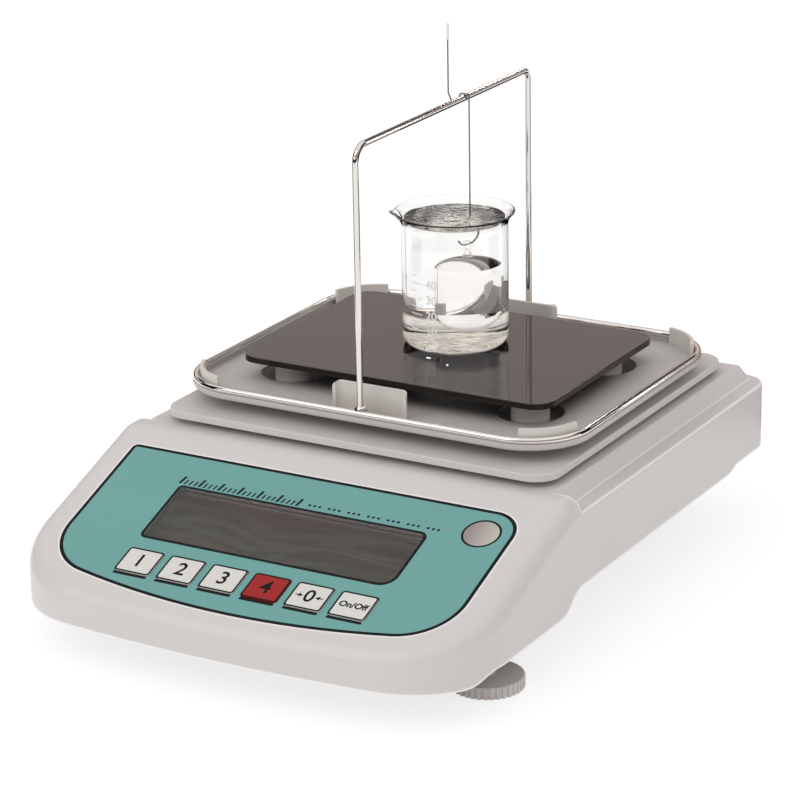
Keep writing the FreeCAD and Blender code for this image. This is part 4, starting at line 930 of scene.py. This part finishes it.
def beaker_marks():
    """White volume marks every 10 mL with their numbers, and half marks between."""
    ticks = []
    for i, figure in enumerate(VOLUME_FIGURES):
        height = VOLUME_FIRST + i * VOLUME_STEP
        number = flat_text(figure, VOLUME_FIGURE, VOLUME_WEIGHT)
        number.location = (0.0, height, 0.0)
        wrap_on_beaker(number, "volume_" + figure, VOLUME_ANGLE)
        ticks.append(volume_tick(VOLUME_TICK_LONG, height))
        ticks.append(volume_tick(VOLUME_TICK_SHORT, height + VOLUME_STEP / 2.0))
    wrap_on_beaker(joined(ticks), "volume_ticks", VOLUME_ANGLE)


beaker_marks()


# ================================================================ camera, floor and light
def make_camera():
    """Camera at the reference view: 30 degrees to the right, 19 degrees up."""
    ahead = Vector((math.sin(CAMERA_AZIMUTH), -math.cos(CAMERA_AZIMUTH), 0.0))
    back = ahead * math.cos(CAMERA_ELEVATION)
    back.z = math.sin(CAMERA_ELEVATION)
    level = Vector((math.cos(CAMERA_AZIMUTH), math.sin(CAMERA_AZIMUTH), 0.0))
    upright = back.cross(level)
    right = level * math.cos(CAMERA_ROLL) + upright * math.sin(CAMERA_ROLL)
    up = back.cross(right)
    data = bpy.data.cameras.new("camera")
    data.lens = CAMERA_LENS
    data.sensor_width = CAMERA_SENSOR
    data.clip_start = 0.05
    data.clip_end = 20.0
    camera = bpy.data.objects.new("camera", data)
    bpy.context.scene.collection.objects.link(camera)
    place = Matrix((right, up, back)).transposed().to_4x4()
    place.translation = Vector(CAMERA_PLACE)
    camera.matrix_world = place
    bpy.context.scene.camera = camera


def soft_lamp(name, place, size, watts):
    """Square soft light that faces the object."""
    data = bpy.data.lights.new(name, "AREA")
    data.shape = "SQUARE"
    data.size = size
    data.energy = watts
    lamp = bpy.data.objects.new(name, data)
    bpy.context.scene.collection.objects.link(lamp)
    lamp.location = place
    lamp.rotation_mode = "QUATERNION"
    lamp.rotation_quaternion = (Vector(LAMP_AIM) - Vector(place)).to_track_quat("-Z", "Y")
    return lamp


def sky_by_height(tree, stops):
    """Background whose colour depends on the height looked at."""
    shown = add(tree, "ShaderNodeBackground", Strength=1.0)
    place = add(tree, "ShaderNodeTexCoord")
    parts = add(tree, "ShaderNodeSeparateXYZ")
    join(tree, place, "Generated", parts, 0)
    ramp = colour_ramp(tree, [(height, (*colour, 1.0)) for height, colour in stops])
    join(tree, parts, "Z", ramp, 0)
    join(tree, ramp, "Color", shown, "Color")
    return shown


def make_world():
    """Even pale surroundings, white to the camera, with darker zones for metal and glass."""
    world = bpy.data.worlds.new("studio")
    world.use_nodes = True
    tree = world.node_tree
    tree.nodes.clear()
    out = add(tree, "ShaderNodeOutputWorld")
    last = add(tree, "ShaderNodeBackground", Color=(*WHITE, 1.0), Strength=WORLD_LIGHT)
    skies = (("Is Glossy Ray", sky_by_height(tree, MIRRORED_SKY)),
             ("Is Transmission Ray", sky_by_height(tree, REFRACTED_SKY)),
             ("Is Camera Ray", add(tree, "ShaderNodeBackground", Color=(*WHITE, 1.0),
                                   Strength=1.0)))
    path = add(tree, "ShaderNodeLightPath")
    for ray, sky in skies:
        mix = add(tree, "ShaderNodeMixShader")
        join(tree, path, ray, mix, 0)
        join(tree, last, 0, mix, 1)
        join(tree, sky, 0, mix, 2)
        last = mix
    join(tree, last, 0, out, 0)
    bpy.context.scene.world = world


def flat_stage(name, material_name, colour, **place):
    """Matt plane that isn't part of the object: the plane, its node tree and its shader."""
    bpy.ops.object.select_all(action="DESELECT")
    bpy.ops.mesh.primitive_plane_add(**place)
    plane = bpy.context.object
    plane.name = name
    material, tree, shader = new_material(material_name)
    shader.inputs["Base Color"].default_value = colour
    shader.inputs["Roughness"].default_value = 1.0
    shader.inputs["Specular IOR Level"].default_value = 0.0
    plane.data.materials.append(material)
    plane.select_set(False)
    return plane, tree, shader


def make_floor():
    """White bench top, its shadows lightened for the camera and for mirrors and glass."""
    tree, shader = flat_stage("floor", "floor_white", (*WHITE, 1.0), size=FLOOR_SIZE)[1:]
    path = add(tree, "ShaderNodeLightPath")
    seen = add(tree, "ShaderNodeMath", p_operation="MAXIMUM")
    join(tree, path, "Is Camera Ray", seen, 0)
    join(tree, path, "Is Glossy Ray", seen, 1)
    also = add(tree, "ShaderNodeMath", p_operation="MAXIMUM")
    join(tree, seen, 0, also, 0)
    join(tree, path, "Is Transmission Ray", also, 1)
    glow = add(tree, "ShaderNodeEmission", Strength=FLOOR_WHITE)
    mix = add(tree, "ShaderNodeMixShader")
    join(tree, scaled(tree, also, FLOOR_GLOW), 0, mix, 0)
    join(tree, shader, 0, mix, 1)
    join(tree, glow, 0, mix, 2)
    join(tree, mix, 0, tree.nodes["Material Output"], 0)


def dark_card(name, place, turn, width, height):
    """Black board near the object that only metal and glass show, as an edge line."""
    card = flat_stage(name, name, CARD_BLACK, size=1.0, location=place, rotation=turn)[0]
    card.scale = (width, height, 1.0)
    card.visible_camera = False
    card.visible_diffuse = False
    card.visible_shadow = False
    return card


def dark_cards():
    """A standing card on either side of the object, and one that lies behind it for metal alone."""
    for name, side in (("card_right", 1.0), ("card_left", -1.0)):
        azimuth = CAMERA_AZIMUTH + side * CARD_TURN
        away = Vector((math.sin(azimuth), -math.cos(azimuth), 0.0)) * CARD_AWAY
        dark_card(name, away + Vector((0.0, CARD_BACK, CARD_HEIGHT / 2.0)),
                  (math.pi / 2.0, 0.0, azimuth), CARD_WIDTH, CARD_HEIGHT)
    low = dark_card("card_behind", LOW_CARD_PLACE, (0.0, 0.0, 0.0), *LOW_CARD_SIZE)
    low.visible_transmission = False


def make_lamps():
    """One soft light from the front, and two small ones behind for metal and glass."""
    soft_lamp("key_light", KEY_LAMP_PLACE, KEY_LAMP_SIZE, KEY_LAMP_WATTS)
    for name, place in EDGE_LAMPS:
        lamp = soft_lamp(name, place, EDGE_LAMP_SIZE, EDGE_LAMP_WATTS)
        lamp.visible_diffuse = False


make_camera()
make_world()
make_floor()
dark_cards()
make_lamps()
bpy.context.scene.view_settings.view_transform = "Standard"
